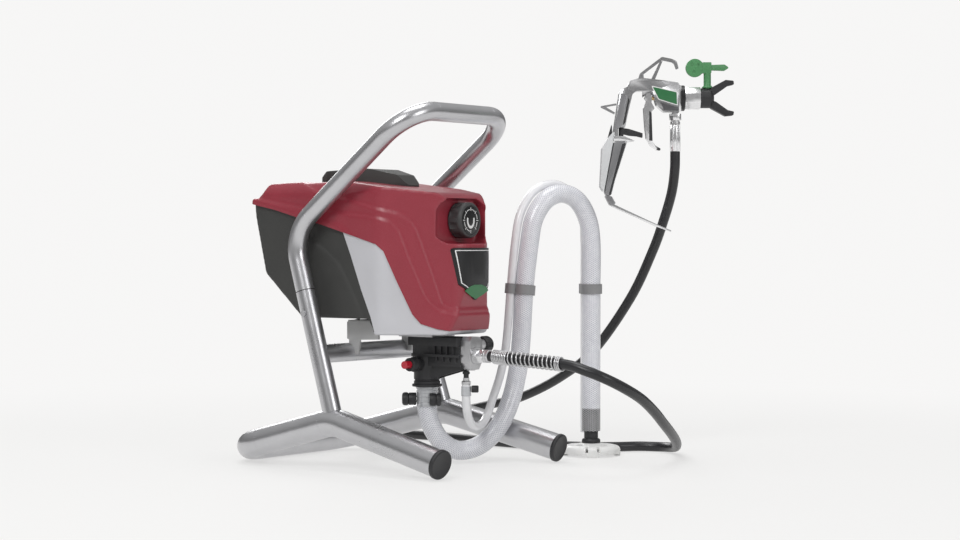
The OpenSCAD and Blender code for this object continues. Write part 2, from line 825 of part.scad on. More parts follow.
module drive_housing() {
  side = max(pitch_gear + 2 * gear_m + 2, motor_r) + 2;
  neck_top = yoke_bottom - crank_throw - 3;
  color("darkgray")
    difference() {
      union() {
        translate([-side, plate_front, base_z])
          cube([2 * side, plate_t, motor_z + 24 - base_z]);
        translate([-26, wall_front, base_z])
          cube([52, wall_t, crank_z + 16 - base_z]);
        translate([-side, wall_front, base_z])
          cube([2 * side, plate_front - wall_front + 32, 5]);
        translate([-neck_half, -pump_y - 24, block_top])
          cube([2 * neck_half, pump_y + 24 + wall_front + wall_t, neck_top - block_top]);
        translate([-neck_half, wall_front, block_top])
          cube([2 * neck_half, wall_t, base_z + 1 - block_top]);
      }
      y_rod(wall_front - 1, plate_front + plate_t + 1, crank_z, crank_shaft_d / 2 + 1);
      y_rod(plate_front - 1, plate_front + 9, crank_z, crank_shaft_d / 2 + 3);
      y_rod(wall_front - 1, wall_front + 9, crank_z, crank_shaft_d / 2 + 3);
      y_rod(plate_front - 1, plate_front + plate_t + 1, motor_z, motor_shaft_d / 2 + run_fit);
      translate([-24, wall_front + wall_t, base_z - 1])
        cube([48, plate_front - wall_front - wall_t, 8]);
      translate([0, -pump_y, block_top - 1])
        cylinder(h = 60, r = rod_r + 3, $fn = smooth);
      screws(base_z - 1, 8, screw_r);
    }
}
module yoke() {
  half_x = window_x + yoke_frame;
  color("lightsteelblue")
    translate([0, -pump_y + yoke_t / 2, crank_z])
      rotate([90, 0, 0])
        linear_extrude(yoke_t)
          difference() {
            polygon(rounded([[-half_x, -window_z - yoke_frame, 5], [half_x, -window_z - yoke_frame, 5],
                             [half_x, window_z + yoke_frame, 5], [-half_x, window_z + yoke_frame, 5]]));
            polygon(rounded([[-window_x, -window_z, 3], [window_x, -window_z, 3],
                             [window_x, window_z, 3], [-window_x, window_z, 3]]));
          }
}
module piston_rod() {
  color("whitesmoke")
    translate([0, -pump_y, rod_bottom])
      cylinder(h = yoke_bottom - rod_bottom, r = rod_r, $fn = smooth);
}

// ---------------------------------------------------------------- pump
module piston_packing() {
  color("ivory")
    translate([0, -pump_y, block_top - packing_h])
      difference() {
        cylinder(h = packing_h, r = packing_r, $fn = smooth);
        translate([0, 0, -1])
          cylinder(h = packing_h + 2, r = rod_r + run_fit, $fn = smooth);
      }
}
module pump_block() {
  arm = manifold_y - pump_y;
  color("black")
    difference() {
      union() {
        translate([-flange_half, -manifold_y, block_top - flange_h])
          cube([2 * flange_half, manifold_y - pump_y + 14, flange_h]);
        translate([0, -pump_y, inlet_z + 12])
          cylinder(h = block_top - inlet_z - 13, r = tower_d / 2 + 3, $fn = smooth);
        translate([-13, -manifold_y, 118])
          cube([26, arm, block_top - 119]);
        for (x = [-9, 7])
          translate([x, -pump_y, 0])
            rotate([90, 0, 90])
              linear_extrude(2.5)
                polygon([[-8, inlet_z + 13], [-arm, 114], [-arm, 120], [-8, 120]]);
        for (i = [0:3])
          translate([-flange_half + 3, -pump_y - 26 - i * 9, 122])
            cube([2 * flange_half - 6, 2.5, block_top - 123]);
        rod([0, -pump_y, pusher_z], [-boss_x, -pump_y, pusher_z], boss_r);
      }
      translate([0, -pump_y, 0])
        cylinder(h = block_top + 1, r = rod_r + run_fit, $fn = smooth);
      translate([0, -pump_y, block_top - packing_h])
        cylinder(h = packing_h + 1, r = packing_r, $fn = smooth);
      translate([0, -pump_y, inlet_z])
        cylinder(h = inlet_top - inlet_z, r = 13, $fn = smooth);
      rod([0, -pump_y, outlet_z], [0, -manifold_y - 1, outlet_z], 4);
      rod([0, -pump_y, pusher_z], [-boss_x - 1, -pump_y, pusher_z], stem_r + run_fit);
      rod([-boss_x + 12, -pump_y, pusher_z], [-boss_x - 1, -pump_y, pusher_z], button_r + 0.3);
    }
}
module pusher_button() {
  color("red")
    union() {
      rod([-boss_x + 12 - pusher_travel - 1, -pump_y, pusher_z], [-boss_x - 9, -pump_y, pusher_z], button_r);
      rod([-rod_r - pusher_travel - 2, -pump_y, pusher_z], [-boss_x + 2, -pump_y, pusher_z], stem_r);
    }
}
module inlet_housing() {
  color("dimgray")
    translate([0, -pump_y, 0])
      difference() {
        union() {
          translate([0, 0, inlet_z])
            cylinder(h = 5, r = inlet_d / 2, $fn = smooth);
          translate([0, 0, inlet_z])
            cylinder(h = 12, r = tower_d / 2 + 1, $fn = smooth);
          translate([0, 0, inlet_z])
            cylinder(h = inlet_top - inlet_z, r = 13, $fn = smooth);
        }
        translate([0, 0, inlet_z - 1])
          cylinder(h = 40, r = seat_r, $fn = smooth);
        translate([0, 0, seat_z])
          cylinder(h = 40, r = ball_r + 1.5, $fn = smooth);
      }
}
module inlet_ball() {
  color("silver")
    translate([0, -pump_y, seat_z + sqrt(ball_r * ball_r - seat_r * seat_r)])
      sphere(r = ball_r, $fn = smooth);
}
module outlet_manifold() {
  h0 = 115;
  m = manifold_half;
  color("silver")
    difference() {
      union() {
        translate([0, -manifold_y, 0])
          rotate([90, 0, 0])
            linear_extrude(manifold_t)
              polygon([[-m, h0 + 8], [-m + 6, h0], [m - 6, h0], [m, h0 + 8], [m, block_top - 4],
                       [m - 4, block_top + 1], [-m + 4, block_top + 1], [-m, block_top - 4]]);
        rod([m - 1, -prime_y, prime_z], [m + 8, -prime_y, prime_z], 6.5);
        rod([0, -nipple_y - 7, h0 + 2], [0, -nipple_y - 7, h0 - 1], 5);
        rod([0, -outlet_y + 1, outlet_z], [0, -outlet_y - 6, outlet_z], 6);
      }
      rod([0, -manifold_y + 1, outlet_z], [0, -outlet_y - 7, outlet_z], 3);
      rod([m - 6, -prime_y, prime_z], [m + 9, -prime_y, prime_z], 3 + run_fit);
    }
}
module prime_knob() {
  x0 = manifold_half + 8.5;
  color("black")
    union() {
      difference() {
        rod([x0, -prime_y, prime_z], [x0 + 12, -prime_y, prime_z], prime_d / 2);
        for (a = [0:60:300])
          translate([0, -prime_y, prime_z])
            rotate([a, 0, 0])
              rod([x0 - 1, prime_d / 2 + 1, 0], [x0 + 10, prime_d / 2 + 1, 0], 3);
      }
      rod([manifold_half - 4, -prime_y, prime_z], [x0 + 1, -prime_y, prime_z], 3);
    }
}
module return_nipple() {
  color("silver")
    difference() {
      union() {
        rod([0, -nipple_y, nipple_bottom], [0, -nipple_y, 114], 3.6);
        rod([0, -nipple_y, 106], [0, -nipple_y, 111], 5);
      }
      rod([0, -nipple_y, nipple_bottom - 1], [0, -nipple_y, 112], 1.8);
    }
}

// ---------------------------------------------------------------- hoses
module suction_hose() {
  color("gainsboro")
    swept_tube(suction_route, suction_d / 2, tube_sides);
}
module return_tube() {
  color("white")
    swept_tube(return_route, return_d / 2, 8);
}
module spray_hose() {
  color("black")
    swept_tube(spray_route, spray_d / 2, 8);
}
module clamp_ring(p, r, h, wing) {
  translate(p)
    difference() {
      union() {
        cylinder(h = h, r = r + 2, $fn = smooth);
        for (s = wing)
          rotate([0, 0, -54])
            rod([s * (r + 1), -2, h / 2], [s * (r + 8), -2, h / 2], h / 2);
      }
      translate([0, 0, -1])
        cylinder(h = h + 2, r = r + 0.1, $fn = smooth);
    }
}
module hose_clamps() {
  color("black")
    union() {
      clamp_ring([0, -pump_y, inlet_z - 18], suction_d / 2, 11, [-1, 1]);
      clamp_ring([0, -nipple_y, nipple_bottom - 14], return_d / 2, 8, [1]);
    }
}
// A clip that holds point j of the return tube beside point i of the suction hose
module hose_clip(i, j) {
  p = suction_route[i];
  t = tangent(suction_route, i);
  d = return_route[j] - p;
  x = unit(d - t * (d * t));
  y = cross(t, x);
  reach = d * x;
  multmatrix([[x[0], y[0], t[0], p[0]], [x[1], y[1], t[1], p[1]], [x[2], y[2], t[2], p[2]], [0, 0, 0, 1]])
    translate([0, 0, -clip_len / 2])
      difference() {
        union() {
          cylinder(h = clip_len, r = suction_d / 2 + clip_wall, $fn = smooth);
          translate([reach, 0, 0])
            cylinder(h = clip_len, r = return_d / 2 + clip_wall, $fn = smooth);
        }
        translate([0, 0, -1])
          cylinder(h = clip_len + 2, r = suction_d / 2 + 0.1, $fn = smooth);
        translate([reach, 0, -1])
          cylinder(h = clip_len + 2, r = return_d / 2 + 0.4, $fn = smooth);
        translate([2, -3, -1])
          cube([reach - 2, 6, clip_len + 2]);
      }
}
module hose_clips() {
  color("silver")
    union() {
      hose_clip(10, 9);
      hose_clip(18, 17);
    }
}
strainer_at = [suction_route[21][0], suction_route[21][1], 0];
module strainer_neck() {
  color("black")
    translate(strainer_at)
      difference() {
        union() {
          cylinder(h = 30, r = 8, $fn = smooth);
          translate([0, 0, strainer_h])
            cylinder(h = 5, r = 11, $fn = smooth);
        }
        translate([0, 0, -1])
          cylinder(h = 40, r = 5, $fn = smooth);
      }
}
module strainer_foot() {
  r = strainer_d / 2;
  color("white")
    translate(strainer_at)
      difference() {
        union() {
          difference() {
            cylinder(h = strainer_h - 3, r = r, $fn = smooth);
            translate([0, 0, -1])
              cylinder(h = strainer_h, r = r - 2.5, $fn = smooth);
          }
          translate([0, 0, strainer_h - 5])
            cylinder(h = 2.5, r = r - 1, $fn = smooth);
          translate([0, 0, 2])
            cylinder(h = strainer_h - 2, r = 12, $fn = smooth);
        }
        translate([0, 0, -1])
          cylinder(h = 60, r = 8, $fn = smooth);
        for (a = [0:45:315])
          rotate([0, 0, a])
            translate([r - 5, -4, -1])
              cube([10, 8, 5]);
        for (a = [22.5:45:337.5])
          rotate([0, 0, a])
            translate([22, 0, 0])
              cylinder(h = 40, r = 5, $fn = fine);
      }
}
module hose_nut() {
  color("silver")
    difference() {
      union() {
        rod_hex([0, -outlet_y - 0.5, outlet_z], 15, nut_len - 7);
        rod([0, -outlet_y - 13, outlet_z], [0, -nut_y, outlet_z], 7.4);
      }
      rod([0, -outlet_y, outlet_z], [0, -outlet_y - 6.5, outlet_z], 6);
      rod([0, -outlet_y, outlet_z], [0, -nut_y + 3, outlet_z], 3);
    }
}
module rod_hex(p, across, len) {
  translate(p)
    rotate([90, 0, 0])
      cylinder(h = len, r = across / 2 / cos(30), $fn = 6);
}
// Pitch grows in the middle of the guard; the ends are wound closer
function guard_pos(t) = let (k = t / guard_curls) guard_start + guard_wire / 2
  + (guard_len - guard_wire) * (k + 0.055 * sin(360 * k) * -1);
function guard_point(t, r) =
  let (s = guard_pos(t)) [r * cos(360 * t), -nut_y - s, outlet_z - guard_drop * s + r * sin(360 * t)];
guard_path = [for (i = [0:guard_curls * guard_steps]) guard_point(i / guard_steps, guard_coil_r)];
guard_gap = min([for (i = [0:guard_curls * guard_steps - guard_steps])
  norm(guard_path[i + guard_steps] - guard_path[i])]) - guard_wire;
echo("least gap of the spring guard, mm", guard_gap);
module spring_guard() {
  color("silver")
    swept_tube(guard_path, guard_wire / 2, 6);
}

// ---------------------------------------------------------------- gun
module gun_place() {
  translate([spray_route[38][0], spray_route[38][1], gun_z])
    rotate([0, 0, gun_turn - 90])
      children();
}
// Plate of the outline [u, w], centred on the gun's plane
module plate(pts, width) {
  translate([0, width / 2, 0])
    rotate([90, 0, 0])
      linear_extrude(width)
        polygon(pts);
}
module hose_sleeve() {
  color("silver")
    gun_place()
      difference() {
        union() {
          translate([0, 0, -sleeve_len - collar_len])
            cylinder(h = sleeve_len, r = sleeve_d / 2, $fn = smooth);
          translate([0, 0, -collar_len - 1])
            cylinder(h = collar_len + 1, r = 5.2, $fn = smooth);
          translate([0, 0, -2])
            cylinder(h = 7.5, r = nut_af / 2 / cos(30), $fn = 6);
        }
        translate([0, 0, -14])
          cylinder(h = 30, r = inlet_r + run_fit, $fn = smooth);
      }
}
body_outline = [[-67, 30], [-55, 45], [-46, 50], [0, 43], [8, 38], [11, 36], [11, 8], [6, 6.2], [-16, 7],
                [-24, 15], [-29, 33], [-50, 33], [-55, 26], [-57, 6], [-61, -20], [-60, -28], [-80, -28],
                [-80, -20], [-75, 0], [-72, 18]];
module gun_body() {
  color("silver")
    gun_place()
      difference() {
        union() {
          plate(body_outline, gun_w);
          plate([[-44, 49], [-18, 75], [-4, 73], [3, 66], [3.5, 59], [0, 59], [-3, 66], [-16, 70], [-26, 47],
                 [-31, 47], [-20, 65], [-36, 49]], 5);
          plate([[-90, 13], [-71, 17], [-72, 13], [-84, 12.5], [-74, 5], [-75, 1]], 4);
          plate([[-40, 34], [-40, 25], [-36, 21], [-31, 21], [-26, 26], [-26, 34]], 7);
          translate([0, 0, -6])
            cylinder(h = 14, r = inlet_r, $fn = smooth);
        }
        rod([-40, 0, nozzle_w], [12, 0, nozzle_w], bore_r);
        translate([0, 0, -7])
          cylinder(h = nozzle_w + 7, r = 2.2, $fn = smooth);
        rod([pivot_u, -5, pivot_w], [pivot_u, 5, pivot_w], trigger_pin_d / 2 + run_fit);
        rod([lock_u, 0, lock_w + 10], [lock_u, 0, lock_w - 13], lock_r + run_fit);
        translate([lock_u - lock_r - 1, -20, lock_w - 7.4])
          cube([20, 40, 11.6]);
      }
}
module gun_grip() {
  color("gray")
    gun_place()
      union() {
        plate([[-80, -28.2], [-60, -28.2], [-58, -34], [-75, -93], [-74, -100], [-86, -98], [-92, -85],
               [-92, -42], [-88, -33]], grip_w - 8);
        plate([[-84, -30], [-70, -30], [-84, -93], [-91, -84], [-91, -44]], grip_w);
      }
}
module gun_nozzle() {
  color("silver")
    gun_place()
      difference() {
        union() {
          rod([nozzle_u, 0, nozzle_w], [guard_u, 0, nozzle_w], nozzle_d / 2);
          rod([guard_u - 1, 0, nozzle_w], [guard_u + 4, 0, nozzle_w], 7);
          rod([nozzle_u - 8, 0, nozzle_w], [nozzle_u + 1, 0, nozzle_w], bore_r);
        }
        rod([nozzle_u - 9, 0, nozzle_w], [guard_u + 5, 0, nozzle_w], needle_r + 0.4);
      }
}
module gun_needle() {
  color("gold")
    gun_place()
      rod([-29, 0, nozzle_w], [guard_u - 6, 0, nozzle_w], needle_r);
}
module tip_guard() {
  color("black")
    gun_place()
      difference() {
        union() {
          rod([guard_u + 0.4, 0, nozzle_w], [guard_u + 17, 0, nozzle_w], nozzle_d / 2 - 1);
          for (s = [-1, 1])
            plate([for (p = [[guard_u + 6, 6], [guard_u + 10, 12.5], [guard_u + 28, 23], [guard_u + 42, 23],
                             [guard_u + 40, 17], [guard_u + 26, 12], [guard_u + 16, 4]])
                     [p[0], nozzle_w + s * p[1]]], 14);
        }
        rod([guard_u - 1, 0, nozzle_w], [guard_u + 4.4, 0, nozzle_w], 7 + run_fit);
        rod([guard_u - 1, 0, nozzle_w], [guard_u + 60, 0, nozzle_w], 2.5);
        rod([guard_u + 13, 0, nozzle_w], [guard_u + 60, 0, nozzle_w], 6);
        translate([tip_u, 0, nozzle_w - 9])
          cylinder(h = 60, r = tip_stem_d / 2 + run_fit, $fn = smooth);
      }
}
module spray_tip() {
  color("green")
    gun_place()
      difference() {
        union() {
          translate([tip_u, 0, nozzle_w - 8.5])
            cylinder(h = 44, r = tip_stem_d / 2, $fn = smooth);
          plate([[33, 56], [44, 56], [46, 57], [62, 57.5], [65.5, 61], [62, 64.5], [46, 65], [44, 67],
                 [33, 67]], 8);
          rod([23, -4, 61], [23, 4, 61], 12);
        }
        rod([tip_u - 10, 0, nozzle_w], [tip_u + 10, 0, nozzle_w], 1.5);
      }
}
trigger_arm = [[-38, 8], [-27.5, 8], [-28.5, 0], [-29, -28], [-26, -33], [-18, -39], [-20, -42], [-30, -37],
               [-36, -29], [-37.5, -8], [-39, 4]];
trigger_cheek = [[-38, 31], [-35, 32.4], [-30.5, 31.5], [-28.6, 28], [-28.6, 22], [-27, 14], [-27.5, 7],
                 [-38, 7], [-37.5, 14], [-39, 24]];
module trigger() {
  color("silver")
    gun_place()
      union() {
        plate(trigger_arm, 13);
        for (s = [-1, 1])
          translate([0, s * 5.2, 0])
            plate(trigger_cheek, 2.6);
        rod([pivot_u, -6, pivot_w], [pivot_u, 6, pivot_w], trigger_pin_d / 2);
      }
}
module trigger_lock() {
  color("black")
    gun_place()
      union() {
        rod([lock_u, 0, lock_w + 9], [lock_u, 0, lock_w - 12], lock_r);
        plate([[lock_u - 1, lock_w - 4], [lock_u - 1, lock_w + 4], [-46, lock_w - 2], [-40, lock_w - 4],
               [-40, lock_w - 8], [-46, lock_w - 8]], 5);
      }
}
module finger_guard() {
  color("silver")
    gun_place()
      union() {
        plate([[-86, -98.2], [-74, -100.2], [-73, -106], [-81, -107]], grip_w - 8);
        translate([0, 12, 0])
          plate([[-82, -104], [-76, -105], [-40, -121], [-4, -137], [-4, -139], [-42, -124], [-78, -108]], 8);
      }
}

base_tube();
foot_caps();
lower_post(-1);  // lower_post_right
lower_post(1);  // lower_post_left
cross_tube();
mounting_bracket();
handle_hoop();
snap_button(-1);  // snap_button_right
snap_button(1);  // snap_button_left
front_cover();
side_band();
rear_cover();
top_cap();
badge_plate();
knob_bezel();
cover_screws();
pressure_knob();
control_pot();
control_board();
power_switch();
cord_gland();
motor_can();
motor_end_bell();
motor_brushes();
motor_rotor();
drive_pinion();
drive_housing();
shaft_bearings();
crank_gear();
crank_shaft();
yoke();
piston_rod();
piston_packing();
pump_block();
pusher_button();
inlet_housing();
inlet_ball();
outlet_manifold();
prime_knob();
return_nipple();
hose_clamps();
suction_hose();
return_tube();
hose_clips();
strainer_neck();
strainer_foot();
hose_nut();
spring_guard();
spray_hose();
hose_sleeve();
gun_body();
gun_grip();
gun_nozzle();
tip_guard();
spray_tip();
trigger();
trigger_lock();
finger_guard();
gun_needle();
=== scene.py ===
import bpy
from math import atan2, cos, pi, radians, sin, tan
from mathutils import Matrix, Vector


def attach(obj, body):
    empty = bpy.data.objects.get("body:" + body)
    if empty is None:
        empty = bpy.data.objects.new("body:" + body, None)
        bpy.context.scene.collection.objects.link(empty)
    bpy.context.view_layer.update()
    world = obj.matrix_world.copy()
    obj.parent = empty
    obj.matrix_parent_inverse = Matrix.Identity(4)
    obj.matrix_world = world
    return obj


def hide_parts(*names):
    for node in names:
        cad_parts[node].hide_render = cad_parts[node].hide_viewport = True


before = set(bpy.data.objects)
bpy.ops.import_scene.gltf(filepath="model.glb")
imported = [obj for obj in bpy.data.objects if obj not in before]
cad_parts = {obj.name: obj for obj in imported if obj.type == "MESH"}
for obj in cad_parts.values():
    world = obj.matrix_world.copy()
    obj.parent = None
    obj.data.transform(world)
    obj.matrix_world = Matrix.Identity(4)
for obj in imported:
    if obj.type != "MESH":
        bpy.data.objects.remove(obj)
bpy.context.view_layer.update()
mm = 0.001
through = 200
leastRadius = 0.6
weld = 0.00002
scene = bpy.context.scene
scene.view_settings.view_transform = "Standard"


# shader nodes
def wire(tree, node, inputs):
    # an input takes a value, a socket, or the first output of a node
    for key, value in inputs.items():
        if isinstance(value, bpy.types.Node):
            value = value.outputs[0]
        if isinstance(value, bpy.types.NodeSocket):
            tree.links.new(value, node.inputs[key])
        else:
            node.inputs[key].default_value = value


def addNode(tree, kind, inputs=None, **settings):
    made = tree.nodes.new("ShaderNode" + kind)
    for key, value in settings.items():
        setattr(made, key, value)
    wire(tree, made, inputs or {})
    return made


def blend(tree, share, first, second):
    return addNode(tree, "Mix", {0: share, 6: first, 7: second}, data_type="RGBA").outputs[2]


# camera, floor, lights
studio = dict(
    eye=(-1.9774, -1.5558, 0.2644), look=(0.8112, 0.5846, -0.0139), lens=79.08, sensor=36,
    backdrop=(0.93, 0.925, 0.92, 1), worldLight=0.5,
    air=[(0.0, 0.55), (1.0, 1.3), (0.44, 0.30), (0.56, 0.34), (0.8, 1.0)],
    floorSize=18.0, floorDrop=0.0004, paper=(0.8, 0.8, 0.79, 1), paperRough=0.9,
    fade={"From Min": 0.45, "From Max": 1.5, "To Min": 0.62, "To Max": 1.0}, lampsAim=(0.05, -0.05, 0.22),
    lamps=[("key", (-2.4, -0.6, 2.2), 1.1, 36), ("front", (-0.4, -3.0, 1.3), 1.3, 16),
           ("back", (1.8, 2.2, 1.6), 1.4, 22), ("top", (0.2, 0.1, 2.6), 1.3, 20)],
)


def makeCamera():
    bpy.ops.object.camera_add(location=studio["eye"])
    camera = bpy.context.object
    camera.name = "viewCamera"
    camera.rotation_mode = "QUATERNION"
    camera.rotation_quaternion = Vector(studio["look"]).to_track_quat("-Z", "Y")
    camera.data.lens = studio["lens"]
    camera.data.sensor_width = studio["sensor"]
    scene.camera = camera


def seenRays(tree):
    # 1 where the camera, a mirror or glass looks, 0 where light is gathered
    rays = addNode(tree, "LightPath")
    total = rays.outputs["Is Camera Ray"]
    for name in ("Is Glossy Ray", "Is Transmission Ray"):
        total = addNode(tree, "Math", {0: total, 1: rays.outputs[name]}, use_clamp=True)
    return total


def makeAir():
    world = bpy.data.worlds.new("studioAir")
    world.use_nodes = True
    scene.world = world
    tree = world.node_tree
    # the air is bright overhead and dim at eye level, so that round metal shows dark edges
    split = addNode(tree, "SeparateXYZ", {0: addNode(tree, "TexCoord").outputs["Generated"]})
    lift = addNode(tree, "MapRange", {"Value": split.outputs["Z"], "From Min": -1})
    air = addNode(tree, "ValToRGB", {0: lift})
    for i, (spot, grey) in enumerate(studio["air"]):
        if i > 1:
            air.color_ramp.elements.new(spot)
        air.color_ramp.elements[i].position = spot
        air.color_ramp.elements[i].color = (grey, grey, grey, 1)
    soft = tree.nodes["Background"]
    wire(tree, soft, {0: air, 1: studio["worldLight"]})
    seen = addNode(tree, "Background", {0: studio["backdrop"]})
    rays = addNode(tree, "LightPath")
    wire(tree, tree.nodes["World Output"],
         {0: addNode(tree, "MixShader", {0: rays.outputs["Is Camera Ray"], 1: soft, 2: seen})})


def makeFloor():
    bpy.ops.mesh.primitive_plane_add(size=studio["floorSize"], location=(0, 0, -studio["floorDrop"]))
    floor = bpy.context.object
    floor.name = "studioFloor"
    paper = bpy.data.materials.new("floorPaper")
    paper.use_nodes = True
    tree = paper.node_tree
    matt = tree.nodes["Principled BSDF"]
    wire(tree, matt, {"Base Color": studio["paper"], "Roughness": studio["paperRough"]})
    glow = addNode(tree, "Emission", {0: studio["backdrop"]})
    # far out the floor turns into the backdrop
    far = addNode(tree, "VectorMath", {0: addNode(tree, "TexCoord").outputs["Object"]}, operation="LENGTH")
    fade = addNode(tree, "MapRange", {"Value": far.outputs["Value"], **studio["fade"]},
                   interpolation_type="SMOOTHSTEP")
    share = addNode(tree, "Math", {0: seenRays(tree), 1: fade}, operation="MULTIPLY")
    wire(tree, tree.nodes["Material Output"], {0: addNode(tree, "MixShader", {0: share, 1: matt, 2: glow})})
    floor.data.materials.append(paper)


def makeLamps():
    for name, place, size, power in studio["lamps"]:
        bpy.ops.object.light_add(type="AREA", location=place)
        lamp = bpy.context.object
        lamp.name = name + "Lamp"
        lamp.data.size = size
        lamp.data.energy = power
        lamp.rotation_mode = "QUATERNION"
        lamp.rotation_quaternion = (Vector(studio["lampsAim"]) - Vector(place)).to_track_quat("-Z", "Y")


makeCamera()
makeAir()
makeFloor()
makeLamps()
print("camera, floor and lights placed")


# small helpers
def deselect():
    active = bpy.context.view_layer.objects.active
    if active and active.mode != "OBJECT":
        bpy.ops.object.mode_set(mode="OBJECT")
    bpy.ops.object.select_all(action="DESELECT")


def pick(piece):
    deselect()
    piece.select_set(True)
    bpy.context.view_layer.objects.active = piece


def modify(piece, kind, **settings):
    pick(piece)
    modifier = piece.modifiers.new(kind.title(), kind)
    for key, value in settings.items():
        setattr(modifier, key, value)
    bpy.ops.object.modifier_apply(modifier=modifier.name)


def faceOut(piece):
    pick(piece)
    bpy.ops.object.mode_set(mode="EDIT")
    bpy.ops.mesh.select_all(action="SELECT")
    bpy.ops.mesh.remove_doubles(threshold=weld)
    bpy.ops.mesh.normals_make_consistent(inside=False)
    bpy.ops.object.mode_set(mode="OBJECT")


def cut(piece, *tools, how="DIFFERENCE"):
    for tool in tools:
        modify(piece, "BOOLEAN", operation=how, object=tool, solver="MANIFOLD")
        bpy.data.objects.remove(tool)


def soften(piece, width, segments=3, angle=30):
    modify(piece, "BEVEL", width=width * mm, segments=segments, limit_method="ANGLE",
           angle_limit=radians(angle), harden_normals=False)


def joined(name, *pieces):
    deselect()
    for piece in pieces:
        piece.select_set(True)
    bpy.context.view_layer.objects.active = pieces[0]
    bpy.ops.object.join()
    pieces[0].name = name
    return pieces[0]


def rounded(corners, steps):
    # outline of (a, b, radius) corners, with each corner rounded
    outline = []
    for i, (bx, by, radius) in enumerate(corners):
        b = Vector((bx, by))
        u = (Vector(corners[i - 1][:2]) - b).normalized()
        w = (Vector(corners[(i + 1) % len(corners)][:2]) - b).normalized()
        half = u.angle(w) / 2
        centre = b + (u + w).normalized() * radius / sin(half)
        p0, p1 = b + u * radius / tan(half) - centre, b + w * radius / tan(half) - centre
        a0, a1 = atan2(p0.y, p0.x), atan2(p1.y, p1.x)
        sweep = (a1 - a0 + pi) % (2 * pi) - pi
        outline += [(centre.x + radius * cos(a0 + sweep * k / steps), centre.y + radius * sin(a0 + sweep * k / steps))
                    for k in range(steps + 1)]
    return outline


def drawnIn(corners, t):
    # the same corners drawn inwards by t, for an outline that runs anticlockwise
    result = []
    for i, (bx, by, radius) in enumerate(corners):
        b = Vector((bx, by))
        u = (b - Vector(corners[i - 1][:2])).normalized()
        w = (Vector(corners[(i + 1) % len(corners)][:2]) - b).normalized()
        n1, n2 = Vector((-u.y, u.x)), Vector((-w.y, w.x))
        q = b + t * (n1 + n2) / (1 + n1.dot(n2))
        result.append((q.x, q.y, max(leastRadius, radius - t)))
    return result


def sideSpot(y, z, x):
    return Vector((x, y, z)) * mm


def planSpot(x, y, z):
    return Vector((x, y, z)) * mm


def frontSpot(x, z, y):
    return Vector((x, y, z)) * mm


gunTurn = radians(35.8 - 90)
gunHome = Vector((250, -244, 414))
gunAhead = Vector((cos(gunTurn), sin(gunTurn), 0))
gunLeft = Vector((-sin(gunTurn), cos(gunTurn), 0))


def gunSpot(u, w, v):
    return (gunHome + gunAhead * u + gunLeft * v + Vector((0, 0, w))) * mm


def outlineBlock(name, outline, spot, low, high, steps=6):
    # corners that carry a third number are rounded by it
    if len(outline[0]) == 3:
        outline = rounded(outline, steps)
    deselect()
    bpy.ops.mesh.primitive_circle_add(vertices=len(outline), fill_type="NGON")
    block = bpy.context.object
    block.name = name
    for vert, (a, b) in zip(block.data.vertices, outline):
        vert.co = spot(a, b, low)
    bpy.ops.object.mode_set(mode="EDIT")
    bpy.ops.mesh.select_all(action="SELECT")
    bpy.ops.mesh.extrude_region_move(TRANSFORM_OT_translate={"value": spot(0, 0, high) - spot(0, 0, low)})
    bpy.ops.mesh.select_all(action="SELECT")
    bpy.ops.mesh.normals_make_consistent(inside=False)
    bpy.ops.object.mode_set(mode="OBJECT")
    return block


def spunBlock(name, profile, base, axis, steps=48):
    # closed profile of (radius, height) points in mm, spun round the axis through base (mm)
    axis = Vector(axis).normalized()
    base = Vector(base)
    side = axis.orthogonal().normalized()
    deselect()
    bpy.ops.mesh.primitive_circle_add(vertices=len(profile), fill_type="NOTHING")
    block = bpy.context.object
    block.name = name
    for vert, (radius, height) in zip(block.data.vertices, profile):
        vert.co = (base + side * radius + axis * height) * mm
    bpy.ops.object.mode_set(mode="EDIT")
    bpy.ops.mesh.select_all(action="SELECT")
    bpy.ops.mesh.spin(steps=steps, angle=2 * pi, center=base * mm, axis=axis)
    bpy.ops.object.mode_set(mode="OBJECT")
    faceOut(block)
    return block


def rod(name, start, end, radius, edge=0.0, steps=32):
    # round bar with softened ends
    start, end = Vector(start), Vector(end)
    long = (end - start).length
    profile = [(0, 0), (radius, 0), (radius, long), (0, long)]
    if edge:
        part = 0.3 * edge
        profile = [(0, 0), (radius - edge, 0), (radius - part, part), (radius, edge), (radius, long - edge),
                   (radius - part, long - part), (radius - edge, long), (0, long)]
    return spunBlock(name, profile, start, end - start, steps)


def smoothLine(points, closeness):
    # one smooth curve through given points
    points = [Vector(p) for p in points]
    ends = [2 * points[0] - points[1]] + points + [2 * points[-1] - points[-2]]
    line = []
    for i in range(1, len(ends) - 2):
        p0, p1, p2, p3 = ends[i - 1:i + 3]
        steps = max(2, round((p2 - p1).length / closeness))
        for k in range(steps):
            t = k / steps
            line.append(0.5 * (2 * p1 + (p2 - p0) * t + (2 * p0 - 5 * p1 + 4 * p2 - p3) * t * t
                               + (3 * p1 - p0 - 3 * p2 + p3) * t ** 3))
    return line + [points[-1]]


def lineLength(line):
    return sum((b - a).length for a, b in zip(line, line[1:]))


